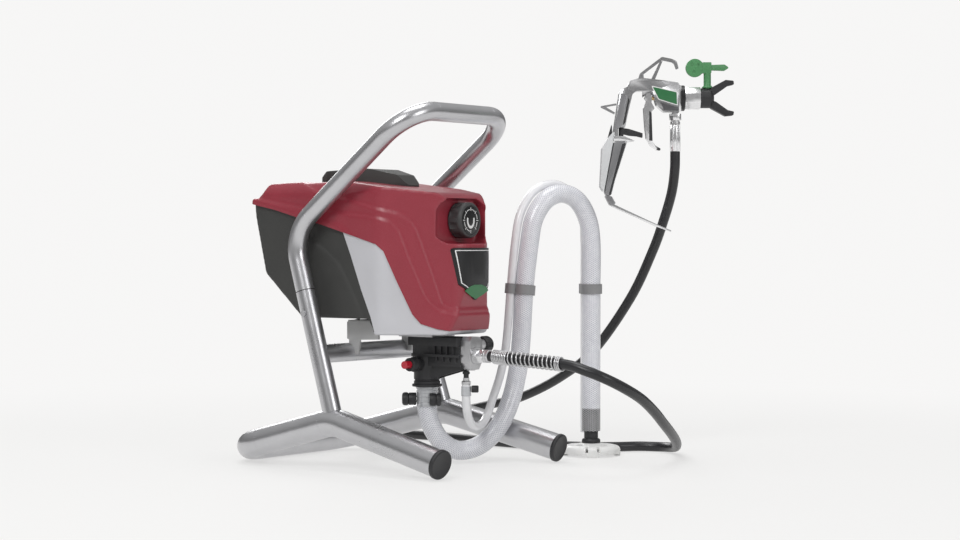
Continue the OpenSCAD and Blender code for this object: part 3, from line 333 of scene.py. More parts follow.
def sweptTube(name, line, radius, sides):
    # closed tube along a line, with u round it and v in metres along it
    tangents = [(line[min(i + 1, len(line) - 1)] - line[max(i - 1, 0)]).normalized() for i in range(len(line))]
    side = tangents[0].orthogonal().normalized()
    verts, along, run = [], [], 0.0
    for i, (point, tangent) in enumerate(zip(line, tangents)):
        side = (side - tangent * side.dot(tangent)).normalized()
        across = tangent.cross(side)
        run += (point - line[i - 1]).length if i else 0
        along.append(run)
        for k in range(sides):
            a = 2 * pi * k / sides
            verts.append(point + radius * (cos(a) * side + sin(a) * across))
    faces = [(i * sides + k, i * sides + (k + 1) % sides, (i + 1) * sides + (k + 1) % sides, (i + 1) * sides + k)
             for i in range(len(line) - 1) for k in range(sides)]
    faces += [tuple(reversed(range(sides))), tuple(range(len(verts) - sides, len(verts)))]
    mesh = bpy.data.meshes.new(name)
    mesh.from_pydata(verts, [], faces)
    uv = mesh.uv_layers.new(name="wrap")
    loop = 0
    for i in range(len(line) - 1):
        for k in range(sides):
            for u, v in ((k, i), (k + 1, i), (k + 1, i + 1), (k, i + 1)):
                uv.data[loop].uv = (u / sides, along[v])
                loop += 1
    tube = bpy.data.objects.new(name, mesh)
    scene.collection.objects.link(tube)
    return tube


def finished(piece, body, material, slotName, *nodes, angle=32):
    pick(piece)
    bpy.ops.object.shade_smooth_by_angle(angle=radians(angle))
    piece.data.materials.clear()
    piece.data.materials.append(material)
    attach(piece, body)
    if nodes:
        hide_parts(*nodes)
    return piece


# finishes
finish = dict(drift=(0.3, 0.72), patchDetail=5.0, patchRough=0.6, roughDrift=0.06, fineDetail=3.0, fleckScale=2600,
              fleckDetail=1.0, fleckCover={"From Min": 0.56, "From Max": 0.68, "To Max": 0.8}, reliefDepth=0.0003)
braid = dict(strands=16, lead=0.040, threadEdge={"From Min": -0.2, "From Max": 0.9}, cloudScale=160.0, cloudDetail=4.0,
             darkFrom=0.7515, darkFade=0.002, bright=1.1, dim=0.55, faint=0.3, relief=0.25, rough=0.28, coat=0.5,
             coatRough=0.08)


def startMaterial(name, color):
    material = bpy.data.materials.new(name)
    material.use_nodes = True
    material.diffuse_color = (*color, 1)
    tree = material.node_tree
    return material, tree, tree.nodes["Principled BSDF"]


def surface(name, color, metallic=0.0, rough=0.4, tone=0.08, patch=22, grain=1400, bump=0.08, coat=0.0,
            coatRough=0.1, fleck=None):
    # one finish: colour and roughness drift in patches, a fine grain stands in the bump
    f = finish
    material, tree, shader = startMaterial(name, color)
    place = addNode(tree, "TexCoord").outputs["Object"]
    patches = addNode(tree, "TexNoise",
                      {"Vector": place, "Scale": patch, "Detail": f["patchDetail"], "Roughness": f["patchRough"]})
    ramp = addNode(tree, "ValToRGB", {0: patches})
    for i, lift in enumerate((1 - tone, 1 + tone)):
        ramp.color_ramp.elements[i].position = f["drift"][i]
        ramp.color_ramp.elements[i].color = (*[min(1, c * lift) for c in color], 1)
    shade = ramp
    if fleck:
        dots = addNode(tree, "TexNoise", {"Vector": place, "Scale": f["fleckScale"], "Detail": f["fleckDetail"]})
        shade = blend(tree, addNode(tree, "MapRange", {"Value": dots, **f["fleckCover"]}), ramp, (*fleck, 1))
    gloss = addNode(tree, "MapRange",
                    {"Value": patches, "To Min": rough - f["roughDrift"], "To Max": rough + f["roughDrift"]})
    fine = addNode(tree, "TexNoise", {"Vector": place, "Scale": grain, "Detail": f["fineDetail"]})
    relief = addNode(tree, "Bump", {"Height": fine, "Strength": bump, "Distance": f["reliefDepth"]})
    wire(tree, shader, {"Base Color": shade, "Roughness": gloss, "Normal": relief, "Metallic": metallic,
                        "Coat Weight": coat, "Coat Roughness": coatRough})
    return material


def braidedHose(name, clear, thread, dark):
    # crossed threads that run round a clear hose
    b = braid
    material, tree, shader = startMaterial(name, clear)
    split = addNode(tree, "SeparateXYZ", {0: addNode(tree, "UVMap", uv_map="wrap")})
    turns = 2 * pi * b["strands"]
    turn = addNode(tree, "Math", {0: split.outputs["X"], 1: turns}, operation="MULTIPLY")
    climb = addNode(tree, "Math", {0: split.outputs["Y"], 1: turns / b["lead"]}, operation="MULTIPLY")
    threads = []
    for way in ("ADD", "SUBTRACT"):
        wave = addNode(tree, "Math", {0: addNode(tree, "Math", {0: turn, 1: climb}, operation=way)}, operation="SINE")
        threads.append(addNode(tree, "MapRange", {"Value": wave, **b["threadEdge"]}))
    most = addNode(tree, "Math", {0: threads[0], 1: threads[1]}, operation="MAXIMUM")
    cloud = addNode(tree, "TexNoise", {"Vector": addNode(tree, "TexCoord").outputs["Object"],
                                       "Scale": b["cloudScale"], "Detail": b["cloudDetail"]})
    # the last stretch stands over the dark neck of the strainer
    over = addNode(tree, "MapRange", {"Value": split.outputs["Y"], "From Min": b["darkFrom"],
                                      "From Max": b["darkFrom"] + b["darkFade"]})
    cover = addNode(tree, "MapRange", {"Value": over, "To Min": b["bright"], "To Max": b["dim"]})
    fade = addNode(tree, "MapRange", {"Value": cloud, "To Min": b["faint"], "To Max": cover})
    weight = addNode(tree, "Math", {0: most, 1: fade}, operation="MULTIPLY", use_clamp=True)
    under = blend(tree, over, (*clear, 1), (*dark, 1))
    relief = addNode(tree, "Bump", {"Height": most, "Strength": b["relief"], "Distance": finish["reliefDepth"]})
    wire(tree, shader, {"Base Color": blend(tree, weight, under, (*thread, 1)), "Normal": relief,
                        "Roughness": b["rough"], "Coat Weight": b["coat"], "Coat Roughness": b["coatRough"]})
    return material


satinTube = surface("satinTube", (0.57, 0.57, 0.585), metallic=0.93, rough=0.29, tone=0.06, grain=2200, bump=0.05)
redShell = surface("redShell", (0.285, 0.024, 0.041), rough=0.38, tone=0.05, grain=2600, bump=0.10, coat=0.25,
                   coatRough=0.3, fleck=(0.34, 0.06, 0.085))
silverShell = surface("silverShell", (0.60, 0.60, 0.63), metallic=0.25, rough=0.42, tone=0.03, grain=2600, bump=0.08)
greyShell = surface("greyShell", (0.042, 0.042, 0.040), rough=0.58, tone=0.12, grain=1900, bump=0.25)
capBlack = surface("capBlack", (0.022, 0.022, 0.024), rough=0.5, tone=0.2, grain=1500, bump=0.2)
glossBlack = surface("glossBlack", (0.006, 0.006, 0.007), rough=0.34, tone=0.2, grain=900, bump=0.03)
knobGrey = surface("knobGrey", (0.045, 0.045, 0.046), rough=0.5, tone=0.15, grain=1700, bump=0.2)
bracketPaint = surface("bracketPaint", (0.50, 0.50, 0.50), metallic=0.2, rough=0.45, tone=0.05, grain=1500, bump=0.12)
castMetal = surface("castMetal", (0.55, 0.55, 0.56), metallic=0.9, rough=0.34, tone=0.12, grain=800, bump=0.3)
zincSteel = surface("zincSteel", (0.68, 0.68, 0.69), metallic=0.9, rough=0.33, tone=0.08, grain=1200, bump=0.06)
chromePlate = surface("chromePlate", (0.84, 0.84, 0.85), metallic=0.8, rough=0.17, tone=0.05, grain=700, bump=0.03)
gunCasting = surface("gunCasting", (0.62, 0.62, 0.63), metallic=0.9, rough=0.2, tone=0.08, grain=900, bump=0.05)
gripGrey = surface("gripGrey", (0.66, 0.67, 0.68), rough=0.4, tone=0.05, grain=1500, bump=0.1)
greyCasting = surface("greyCasting", (0.30, 0.30, 0.31), metallic=0.8, rough=0.36, tone=0.08, grain=1100, bump=0.12)
darkCasting = surface("darkCasting", (0.12, 0.12, 0.125), metallic=0.6, rough=0.4, tone=0.2, patch=60, grain=1100,
                      bump=0.15)
# near-black for the seam rings at the post joints and the stripe on the gun handle, and painted shade in the gun's top
# slot and in the gap behind its handle
jointAndShadeBlack = surface("jointAndShadeBlack", (0.02, 0.02, 0.021), rough=0.45, tone=0.2, grain=1200, bump=0.1)
redButton = surface("redButton", (0.50, 0.012, 0.03), rough=0.25, tone=0.08, grain=1200, bump=0.05, coat=0.4)
tipGreen = surface("tipGreen", (0.075, 0.26, 0.10), rough=0.42, tone=0.1, grain=1600, bump=0.1)
leafGreen = surface("leafGreen", (0.03, 0.17, 0.06), rough=0.35, tone=0.1, grain=1400, bump=0.05)
whitePaint = surface("whitePaint", (0.82, 0.82, 0.82), rough=0.4, tone=0.02, grain=1200, bump=0.05)
footWhite = surface("footWhite", (0.88, 0.88, 0.87), rough=0.42, tone=0.04, grain=1500, bump=0.1)
clipGrey = surface("clipGrey", (0.25, 0.25, 0.255), rough=0.4, tone=0.1, grain=1400, bump=0.1, coat=0.2)
hoseBlack = surface("hoseBlack", (0.019, 0.019, 0.021), rough=0.34, tone=0.15, grain=1500, bump=0.12)
returnClear = surface("returnClear", (0.86, 0.86, 0.88), rough=0.22, tone=0.05, grain=500, bump=0.05, coat=0.4)
motorSteel = surface("motorSteel", (0.35, 0.35, 0.37), metallic=0.95, rough=0.35, tone=0.1, grain=900, bump=0.1)
gearSteel = surface("gearSteel", (0.46, 0.43, 0.38), metallic=1.0, rough=0.32, tone=0.1, grain=1100, bump=0.1)
bronze = surface("bronze", (0.60, 0.42, 0.20), metallic=1.0, rough=0.35, tone=0.1, grain=1300, bump=0.2)
packingWhite = surface("packingWhite", (0.74, 0.71, 0.62), rough=0.55, tone=0.06, grain=900, bump=0.2)
circuitGreen = surface("circuitGreen", (0.02, 0.16, 0.06), rough=0.35, tone=0.12, grain=600, bump=0.1)
carbon = surface("carbon", (0.03, 0.03, 0.03), rough=0.6, tone=0.2, grain=900, bump=0.2)
barbClear = surface("barbClear", (0.50, 0.51, 0.53), metallic=0.3, rough=0.16, tone=0.12, patch=90, grain=500,
                    bump=0.05, coat=0.6)
clearBraid = braidedHose("clearBraid", (0.52, 0.53, 0.59), (0.97, 0.97, 0.99), (0.018, 0.018, 0.02))
print("finishes mixed")


# finishes of the CAD solids that keep their shape
keptFinishes = {
    satinTube: ["base_tube", "lower_post_right", "lower_post_left", "cross_tube", "handle_hoop",
                "snap_button_right", "snap_button_left"],
    capBlack: ["power_switch", "cord_gland"],
    zincSteel: ["cover_screws", "piston_rod", "yoke", "crank_shaft", "inlet_ball"],
    circuitGreen: ["control_board", "control_pot"],
    castMetal: ["drive_housing", "motor_end_bell"],
    motorSteel: ["motor_can", "motor_rotor"],
    carbon: ["motor_brushes"],
    gearSteel: ["drive_pinion", "crank_gear"],
    bronze: ["shaft_bearings", "gun_needle"],
    packingWhite: ["piston_packing"],
    redButton: ["pusher_button"],
    clipGrey: ["hose_clips"],
}
for material, names in keptFinishes.items():
    for name in names:
        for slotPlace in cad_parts[name].material_slots:
            slotPlace.material = material
print("CAD solids finished")


# free hoses
suctionHose = dict(
    diameter=0.023, length=0.78, sides=40, step=0.004,
    route=[(0, -54, 88), (0, -54, 68), (5, -56, 47), (19, -62, 26), (41, -71, 15), (65, -85, 21), (85, -98, 43),
           (103, -102, 72), (114, -104, 104), (119, -106, 140), (123, -108, 205), (130, -111, 262),
           (136, -114, 292), (151, -121, 314), (172, -130, 322), (192, -139, 314), (206, -145, 292),
           (212, -147, 262), (212, -147, 205), (212, -147, 145), (212, -147, 85), (212, -147, 30)],
)
returnTube = dict(
    diameter=0.010, length=0.77, sides=24, step=0.004,
    route=[(0, -111, 97), (0, -111, 80), (5, -109, 64), (18, -105, 50), (42, -98, 45), (68, -90, 52),
           (88, -86, 74), (99, -90, 104), (105, -94, 140), (110, -97, 205), (118, -98, 262), (127, -100, 298),
           (148, -106, 325), (177, -116, 334), (203, -126, 321), (217, -131, 294), (220, -132, 262),
           (220, -132, 205), (220, -132, 145), (220, -132, 85), (220, -132, 27)],
)
sprayHose = dict(
    diameter=0.012, length=1.63, sides=28, step=0.005,
    route=[(0, -146, 131), (0, -198, 128), (0, -250, 125), (3, -274, 119), (15, -293, 110), (40, -303, 98),
           (74, -304, 84), (112, -298, 67), (150, -288, 50), (188, -275, 36), (224, -260, 24), (256, -243, 14.5),
           (285, -222, 8), (298, -196, 6), (288, -169, 6), (266, -150, 6), (248, -126, 6), (236, -92, 6),
           (230, -50, 6), (231, -8, 6), (236, 34, 6), (243, 80, 6), (249, 126, 6), (254, 168, 6),
           (268, 206, 9), (298, 226, 14), (332, 218, 20), (352, 190, 26), (354, 152, 32), (347, 100, 43),
           (338, 44, 56), (324, -26, 85), (308, -90, 124), (291, -155, 192), (279, -194, 250),
           (269, -216, 288), (259, -233.5, 322), (251.5, -242.5, 350), (250, -244, 373)],
)


def laidHose(name, hose, material, slotName, node):
    line = smoothLine([Vector(p) * mm for p in hose["route"]], hose["step"])
    print(name, round(lineLength(line), 4), "m")
    tube = sweptTube(name, line, hose["diameter"] / 2, hose["sides"])
    return finished(tube, "root", material, slotName, node, angle=50), line


def makeHoses():
    hose, line = laidHose("suctionHose", suctionHose, clearBraid, "clear_hose", "suction_hose")
    tube, line = laidHose("returnTube", returnTube, returnClear, "clear_hose", "return_tube")
    hose, line = laidHose("sprayHose", sprayHose, hoseBlack, "hose_black", "spray_hose")


# spring guard
springGuard = dict(start=(0, -146, 131), drop=3 / 52, wire=0.9, sides=8, coil=7.6, lead=5.0, steps=18, closeTurns=9,
                   closePitch=2.3, openTurns=11, openPitch=6.0, endTurns=3, endPitch=2.4)


def makeSpringGuard():
    g = springGuard
    start, steps = Vector(g["start"]), g["steps"]
    line, run = [], g["lead"]
    for part in ("close", "open", "end"):
        for i in range(g[part + "Turns"]):
            for k in range(steps):
                angle = 2 * pi * k / steps
                s = run + g[part + "Pitch"] * k / steps
                coil = Vector((g["coil"] * cos(angle), -s, -g["drop"] * s + g["coil"] * sin(angle)))
                line.append((start + coil) * mm)
            run += g[part + "Pitch"]
    spring = sweptTube("springGuard", line, g["wire"] * mm, g["sides"])
    finished(spring, "root", zincSteel, "zinc_steel", "spring_guard", angle=50)


makeSpringGuard()
print("spring guard wound")


# housing covers
housing = dict(
    side=[(-114, 154, 12), (-36, 154, 8), (-26, 171, 4), (72, 171, 14), (130, 224, 14), (150, 309, 6),
          (126, 334, 12), (14, 338, 60), (-104, 323, 20), (-131, 292, 24), (-131, 222, 60), (-123, 179, 20)],
    plan=[(-84, -47, 30), (-29, -131, 40), (29, -131, 40), (84, -47, 30), (84, 150, 10), (-84, 150, 10)],
    front=[(-84, 134, 3), (84, 134, 3), (84, 340, 24), (-84, 340, 24)],
    redEdge=[(160, 311), (109, 301), (75, 292), (40, 284), (6, 274.5), (-43, 260.5), (-52, 252.5), (-66, 215),
             (-80, 180), (-88, 169), (-104, 163), (-125, 159), (-150, 157.5)],
    arch=[(75, 300), (60, 267.5), (35, 252), (15, 237), (8, 226), (-9, 198), (-19, 177), (-19, 160), (-60, 160),
          (-60, 300)],
    bandEdge=[(6, 274.5), (-6, 246), (-21, 207.5), (-35, 176), (-40, 160), (-40, 140)],
    lowRidge=[(170, 320), (109, 309), (75, 303), (40, 299), (5, 296), (-45, 290), (-58, 286), (-66, 276),
              (-77, 241), (-91, 202), (-97, 192), (-107, 183), (-125, 178), (-170, 176)],
    highRidge=[(120, 352), (40, 319), (-19, 307), (-65, 295), (-77, 286), (-82, 277), (-96, 230), (-107, 191),
               (-115, 186), (-130, 184), (-170, 183)],
    bay=[(-45, 261, 13), (36, 261, 13), (35, 313, 14), (-43, 313, 15)],
    badge=[(-36, 256, 3), (-29, 214, 3), (0, 195, 4), (29, 214, 3), (36, 256, 3)],
    flange=[(170, 310), (109, 298), (75, 289), (40, 281), (8, 273), (-10, 268.5), (8, 281), (40, 289),
            (75, 297.5), (109, 307), (170, 319)],
    wall=2.5, silverStep=1.5, flangeStep=0.9, greyStep=3.0, seam=0.5, ridgeStep=1.8, archStep=1.6, voxel=1.6,
    redRounds=7, rounds=8, baySeat=-99, halfWidth=84, shaftHole=[(0, -90, 288), (0, -110, 288), 6],
)


def envelope(name, t):
    h = housing
    body = outlineBlock(name, drawnIn(h["side"], t), sideSpot, -through, through)
    cut(body, outlineBlock("plan", drawnIn(h["plan"], t), planSpot, 0, 2 * through),
        outlineBlock("front", drawnIn(h["front"], t), frontSpot, -through, through), how="INTERSECT")
    return body


def sideBlock(outline):
    return outlineBlock("sideBlock", outline, sideSpot, -through, through)


def smoothed(piece, voxel, rounds):
    modify(piece, "REMESH", mode="VOXEL", voxel_size=voxel * mm, adaptivity=0)
    modify(piece, "SMOOTH", factor=0.5, iterations=rounds)


def makeCovers():
    h = housing
    above = [(-through, 420), (through, 420)]
    below = [(-through, 100), (through, 100)]
    # red front cover, in three terraces
    red = envelope("frontCover", 2 * h["ridgeStep"])
    middle = envelope("middle", h["ridgeStep"])
    cut(middle, sideBlock(h["highRidge"] + below), how="INTERSECT")
    proud = envelope("proud", 0)
    cut(proud, sideBlock(h["lowRidge"] + below), how="INTERSECT")
    flange = envelope("flange", -h["flangeStep"])
    cut(flange, sideBlock(h["flange"]), how="INTERSECT")
    cut(red, middle, proud, flange, how="UNION")
    cut(red, outlineBlock("bay", h["bay"], frontSpot, h["baySeat"], -through))
    smoothed(red, h["voxel"], h["redRounds"])
    cut(red, sideBlock(h["redEdge"] + above), how="INTERSECT")
    inner = envelope("inner", 2 * h["ridgeStep"] + h["wall"])
    cut(inner, outlineBlock("bayWall", drawnIn(h["bay"], -h["wall"]), frontSpot, h["baySeat"] + h["wall"], -through))
    cut(red, inner, rod("shaftHole", *h["shaftHole"]))
    finished(red, "root", redShell, "red_shell", "front_cover", "knob_bezel", angle=40)

    silver = envelope("sideBand", h["silverStep"])
    smoothed(silver, h["voxel"], h["rounds"])
    region = [(y, z - h["seam"]) for y, z in h["redEdge"][4:]] + [(-200, 160), (-200, 100)] + h["bandEdge"][::-1][:-1]
    cut(silver, sideBlock(region), how="INTERSECT")
    cut(silver, envelope("inner", h["silverStep"] + h["wall"]))
    finished(silver, "root", silverShell, "silver_shell", "side_band", angle=40)

    grey = envelope("rearCover", h["greyStep"])
    side = h["halfWidth"] - h["greyStep"] - h["archStep"]
    cut(grey, outlineBlock("archRight", h["arch"], sideSpot, -100, -side),
        outlineBlock("archLeft", h["arch"], sideSpot, side, 100))
    smoothed(grey, h["voxel"], h["rounds"])
    cut(grey, sideBlock([(y, z - h["seam"]) for y, z in h["redEdge"]] + above))
    cut(grey, sideBlock([(-200, 100)] + [(y + h["seam"], z) for y, z in h["bandEdge"][::-1]] + [(-200, 300)]))
    cut(grey, envelope("inner", h["greyStep"] + h["wall"]))
    finished(grey, "root", greyShell, "grey_shell", "rear_cover", angle=40)


makeCovers()
print("covers moulded")


# pressure knob and its dial
pressureKnob = dict(
    base=(0, -99.6, 288), axis=(0, -1, 0), flutes=10, fluteRadius=6.4, fluteOut=25.6, fluteFrom=1.8, fluteTo=13.2,
    profile=[(0, 0), (20.0, 0), (21, 1), (21, 14.4), (20.8, 16.2), (20, 17.6), (18.6, 18.4), (17.6, 18.3), (16.9, 17.2),
             (0, 17.2)],
    shaft=(18, -2, 3.0), fluteEdge=1.6, dial=[(0, 17.2), (16.5, 17.2), (16.5, 17.7), (16.1, 17.9), (0, 17.9)],
    markOut=17.8, markTo=18.15, bowl=(5.0, 7.4, 160, 380), bowlStretch=1.3, ticks=(11.2, 14.8, 0.4),
    tickAngles=[90, 135, 180, 225, 270, 315, 0, 45], ring=(12.3, 13.0), ringSpan=(8, 37), ringGap=270,
)


def ringSector(inner, outer, fromAngle, toAngle, steps=20):
    angles = [radians(fromAngle + (toAngle - fromAngle) * k / steps) for k in range(steps + 1)]
    return [(radius * cos(a), radius * sin(a)) for radius, way in ((outer, 1), (inner, -1)) for a in angles[::way]]


def makeKnob():
    k = pressureKnob
    y0, z0 = k["base"][1], k["base"][2]
    knob = spunBlock("pressureKnob", k["profile"], k["base"], k["axis"], 96)
    for i in range(k["flutes"]):
        a = 2 * pi * (i + 0.5) / k["flutes"]
        x, z = k["fluteOut"] * cos(a), z0 + k["fluteOut"] * sin(a)
        start, end = (x, y0 - k["fluteFrom"], z), (x, y0 - k["fluteTo"], z)
        cut(knob, rod("flute", start, end, k["fluteRadius"], k["fluteEdge"]))
    behind, ahead, radius = k["shaft"]
    cut(knob, rod("shaft", (0, y0 + behind, z0), (0, y0 + ahead, z0), radius), how="UNION")
    soften(knob, 0.6, 3, angle=28)
    finished(knob, "pressure_knob", knobGrey, "knob_grey", "pressure_knob", angle=38)
    dial = spunBlock("dialFace", k["dial"], k["base"], k["axis"], 72)
    finished(dial, "pressure_knob", glossBlack, "knob_grey")
    outlines = [[(x, z * k["bowlStretch"]) for x, z in ringSector(*k["bowl"])]]
    inner, outer, half = k["ticks"]
    for degrees in k["tickAngles"]:
        a = radians(degrees)
        along, across = Vector((cos(a), sin(a))), Vector((-sin(a), cos(a))) * half
        outlines.append([tuple(along * inner - across), tuple(along * outer - across), tuple(along * outer + across),
                         tuple(along * inner + across)])
        if degrees != k["ringGap"]:
            outlines.append(ringSector(*k["ring"], *[degrees + turn for turn in k["ringSpan"]], 6))
    marks = [outlineBlock("mark", [(x, z0 + z) for x, z in outline], frontSpot, y0 - k["markOut"], y0 - k["markTo"])
             for outline in outlines]
    finished(joined("dialMarks", *marks), "pressure_knob", whitePaint, "knob_grey")


makeKnob()
print("knob turned")


# top cap and badge
topCap = dict(
    plan=[(-12, -35, 7), (12, -35, 7), (44, 60, 16), (30, 84, 14), (-30, 84, 14), (-44, 60, 16)],
    side=[(-42, 326, 1), (86, 330, 2), (84, 338, 4), (66, 347, 8), (12, 350, 30), (-22, 342, 5), (-35, 330, 1.5)],
)
badge = dict(under=3.4, face=1.9, rimWidth=0.9, rimOver=0.25, rimDepth=0.3, inset=2.4, leafOver=0.45,
             leaf=[(0, 197), (11.5, 201), (23, 206.5), (16.56, 211), (6.9, 213.5), (-6.9, 213.5), (-16.56, 211),
                   (-23, 206.5), (-11.5, 201)])


def makeTopCap():
    c = topCap
    cap = outlineBlock("topCap", c["plan"], planSpot, 320, 380)
    cut(cap, outlineBlock("profile", c["side"], sideSpot, -60, 60), how="INTERSECT")
    soften(cap, 1.6, 4)
    finished(cap, "root", greyShell, "grey_shell", "top_cap", angle=35)


def badgePlate(name, outline, low, high, material, *nodes):
    plate = envelope(name, high)
    cut(plate, outlineBlock("edge", outline, frontSpot, -60, -through), how="INTERSECT")
    cut(plate, *low)
    finished(plate, "root", material, "badge_black", *nodes)


def makeBadge():
    b, outline = badge, housing["badge"]
    badgePlate("badgePlate", outline, [envelope("under", b["under"])], b["face"], glossBlack, "badge_plate")
    hollow = outlineBlock("edge", drawnIn(outline, b["inset"] + b["rimWidth"]), frontSpot, -60, -through)
    badgePlate("badgeRim", drawnIn(outline, b["inset"]), [hollow, envelope("under", b["face"] + b["rimDepth"])],
               b["face"] - b["rimOver"], whitePaint)
    badgePlate("badgeLeaf", b["leaf"], [envelope("under", b["face"] + b["rimDepth"])], b["face"] - b["leafOver"],
               leafGreen)


makeTopCap()
makeBadge()
print("cap and badge set")


# foot caps
footCaps = dict(half=118, reach=-164, height=16.539, postHalf=106, postHeight=56, length=13,
                profile=[(16.1, 8.2), (16.7, 8.2), (17, 8.6), (17, 11.2), (16.7, 12.3), (15.7, 12.9), (14.4, 13),
                         (13.6, 12.5), (0, 12.5), (0, 10.2), (16.1, 10.2)])


def makeFootCaps():
    f = footCaps
    caps = []
    for side in (-1, 1):
        toe = Vector((side * f["half"], f["reach"], f["height"]))
        ahead = (toe - Vector((side * f["postHalf"], 0, f["postHeight"]))).normalized()
        caps.append(spunBlock("footCap", f["profile"], toe - ahead * f["length"], ahead, 64))
    finished(joined("footCaps", *caps), "root", capBlack, "black_cap", "foot_caps", angle=40)


makeFootCaps()
print("feet capped")


# seams where the handle plugs into the posts
postSeam = dict(low=(106, 0, 56), knee=(99, 69, 273), height=205, thick=0.9, inner=10.6, outer=11.12)


def makePostSeams():
    p = postSeam
    band = [(p["inner"], 0), (p["outer"], 0), (p["outer"], p["thick"]), (p["inner"], p["thick"])]
    rings = []
    for side in (-1, 1):
        low, knee = Vector(p["low"]), Vector(p["knee"])
        low.x, knee.x = side * low.x, side * knee.x
        ahead = (knee - low).normalized()
        spot = low + ahead * ((p["height"] - low.z) / ahead.z)
        rings.append(spunBlock("seamRing", band, spot, ahead, 64))
    finished(joined("postSeams", *rings), "root", jointAndShadeBlack, "satin_tube")


makePostSeams()
print("seams drawn")


# bracket under the housing
bracket = dict(deck=[(-52, -19, 3), (52, -19, 3), (52, 25, 3), (-52, 25, 3)], deckLow=168, deckTop=171,
               cheekOut=52, cheekIn=49,
               cheek=[(-22, 169), (25, 169), (25, 149), (22, 148), (22, 131), (8, 131), (6, 148), (-22, 149)],
               tube=[(-80, 24.48, 133), (80, 24.48, 133), 11.05])


def makeBracket():
    b = bracket
    frameBracket = outlineBlock("mountingBracket", b["deck"], planSpot, b["deckLow"], b["deckTop"])
    cut(frameBracket, outlineBlock("cheek", b["cheek"], sideSpot, -b["cheekOut"], -b["cheekIn"]),
        outlineBlock("cheek", b["cheek"], sideSpot, b["cheekIn"], b["cheekOut"]), how="UNION")
    cut(frameBracket, rod("tube", *b["tube"], steps=64))
    soften(frameBracket, 0.5, 2)
    finished(frameBracket, "root", bracketPaint, "bracket_paint", "mounting_bracket", angle=35)


makeBracket()
print("bracket folded")


# pump
pump = dict(
    flange=[(-20, -112, 2), (20, -112, 2), (20, -40, 2), (-20, -40, 2)], flangeLow=142, flangeTop=152,
    arm=[(-13, -112, 1), (13, -112, 1), (13, -54, 1), (-13, -54, 1)], armLow=118, armTop=143,
    ledge=[(-16.5, -112, 1), (16.5, -112, 1), (16.5, -40, 6), (-16.5, -40, 6)], ledgeLow=129, ledgeTop=132,
    tower=[(0, 100), (14.6, 100), (14.6, 101), (15.6, 102), (15.6, 113), (17, 115), (17, 150), (0, 150)],
    axis=(0, -54, 0), web=[(-62, 101), (-112, 115), (-112, 120), (-62, 120)], webAt=[-9.5, 7], webThick=2.5,
    ribFrom=-78, ribPitch=9, ribCount=4, ribDepth=2.2, ribHalf=16, ribLow=121, ribRise=0.6, ribShoulder=125.5,
    ribSlant=3.2, upperRibAhead=3, overlap=0.5, boss=8, bossOut=-35, bossHeight=120, bead=(9, 12, 1),
    holes=[(0, 95, 0, 160, 7.06), (-4, 120, -40, 120, 3.06), (-23, 120, -39, 120, 4.85), (0, 142, 0, 160, 11.52),
           (0, 80, 0, 112.05, 13.05)],
)
inlet = dict(
    black=[(5, 93), (17.2, 93), (17.7, 93.5), (17.7, 95.4), (17.2, 95.9), (15.6, 96.2), (15.6, 99.5), (5, 99.5)],
    barb=[(11.55, 88), (5, 88), (5, 92.9), (12.6, 92.9), (13.2, 92.3), (13.2, 90.6), (12.3, 90), (12.3, 88.6),
          (12.9, 88), (12.9, 86), (12.1, 85.4), (12.1, 82.2), (12.6, 81.8), (12.6, 80.6), (12.1, 80.2), (12.1, 76.6),
          (12.7, 76.2), (12.7, 74.8), (12.1, 74.4), (12.1, 71), (12.4, 70.6), (12.4, 69.4), (11.55, 69.2)],
    earAcross=(0.5878, -0.809, 0), earToward=(-0.809, -0.5878, 0), earCentre=(0, -54, 78.2),
    ears=[(-29.5, -21.2, 0, 7.8, 2.8), (-21.6, -12.6, 0, 7.4, 0.8), (3.5, 10.8, 13.6, 7.4, 0.8),
          (10.4, 17, 13.6, 7.8, 2.8)],
)
manifold = dict(
    face=[(-12, 123, 1), (-6, 115, 1), (6, 115, 1), (12, 123, 1), (12, 148, 2), (8, 153, 1), (-8, 153, 1),
          (-12, 148, 2)],
    back=-112, front=-125, collar=[(6.1, 0), (10.4, 0), (10.4, 1.2), (9.6, 2), (6.1, 2)], outlet=(0, -125, 131),
    spout=(1, -6, 5.98), prime=(0, -118.5, 143), primeBoss=(11, 20, 6.5), primeHole=(6, 22, 3.06), primeStem=(8, 22, 3),
    nippleBoss=[(0, -118, 117), (0, -118, 114), 5],
    knob=[(0, 0), (8.6, 0), (9.6, 0.8), (10, 2), (10, 9.5), (9.2, 11.3), (7, 12), (0, 12)], knobAt=20.5, scallops=6,
    scallopOut=11, scallopFrom=20, scallopTo=30.5, scallop=3, nut=7.5, nutFrom=0.5, nutLength=13.6, nutBore=(6.6, 6.02),
    nutEnds=[(0, 0.4), (7.6, 0.4), (8.7, 2), (8.7, 11.6), (7.6, 13.6), (0, 13.6)],
    ferrule=[(3, 12.6), (7.2, 12.6), (7.6, 13.2), (7.6, 15.4), (7.0, 15.8), (7.0, 17), (7.6, 17.4), (7.6, 19.6),
             (7.0, 20.4), (3, 20.4)],
)
nipple = dict(
    at=(0, -111, 0),
    black=[(1.8, 105), (3.0, 105), (3.0, 109), (4.2, 109.6), (4.2, 112), (3.2, 112.6), (3.2, 114), (1.8, 114)],
    ring=[(1.8, 97.2), (5.0, 97.2), (5.4, 97.8), (5.4, 100.6), (4.6, 101.4), (3.7, 102), (3.7, 105), (1.8, 105)],
    band=[(5.05, 84), (5.8, 84), (5.8, 95), (5.05, 95)], tab=4.2, tabFrom=6.0, tabTo=14.5, tabCentre=(0, -111, 92),
)


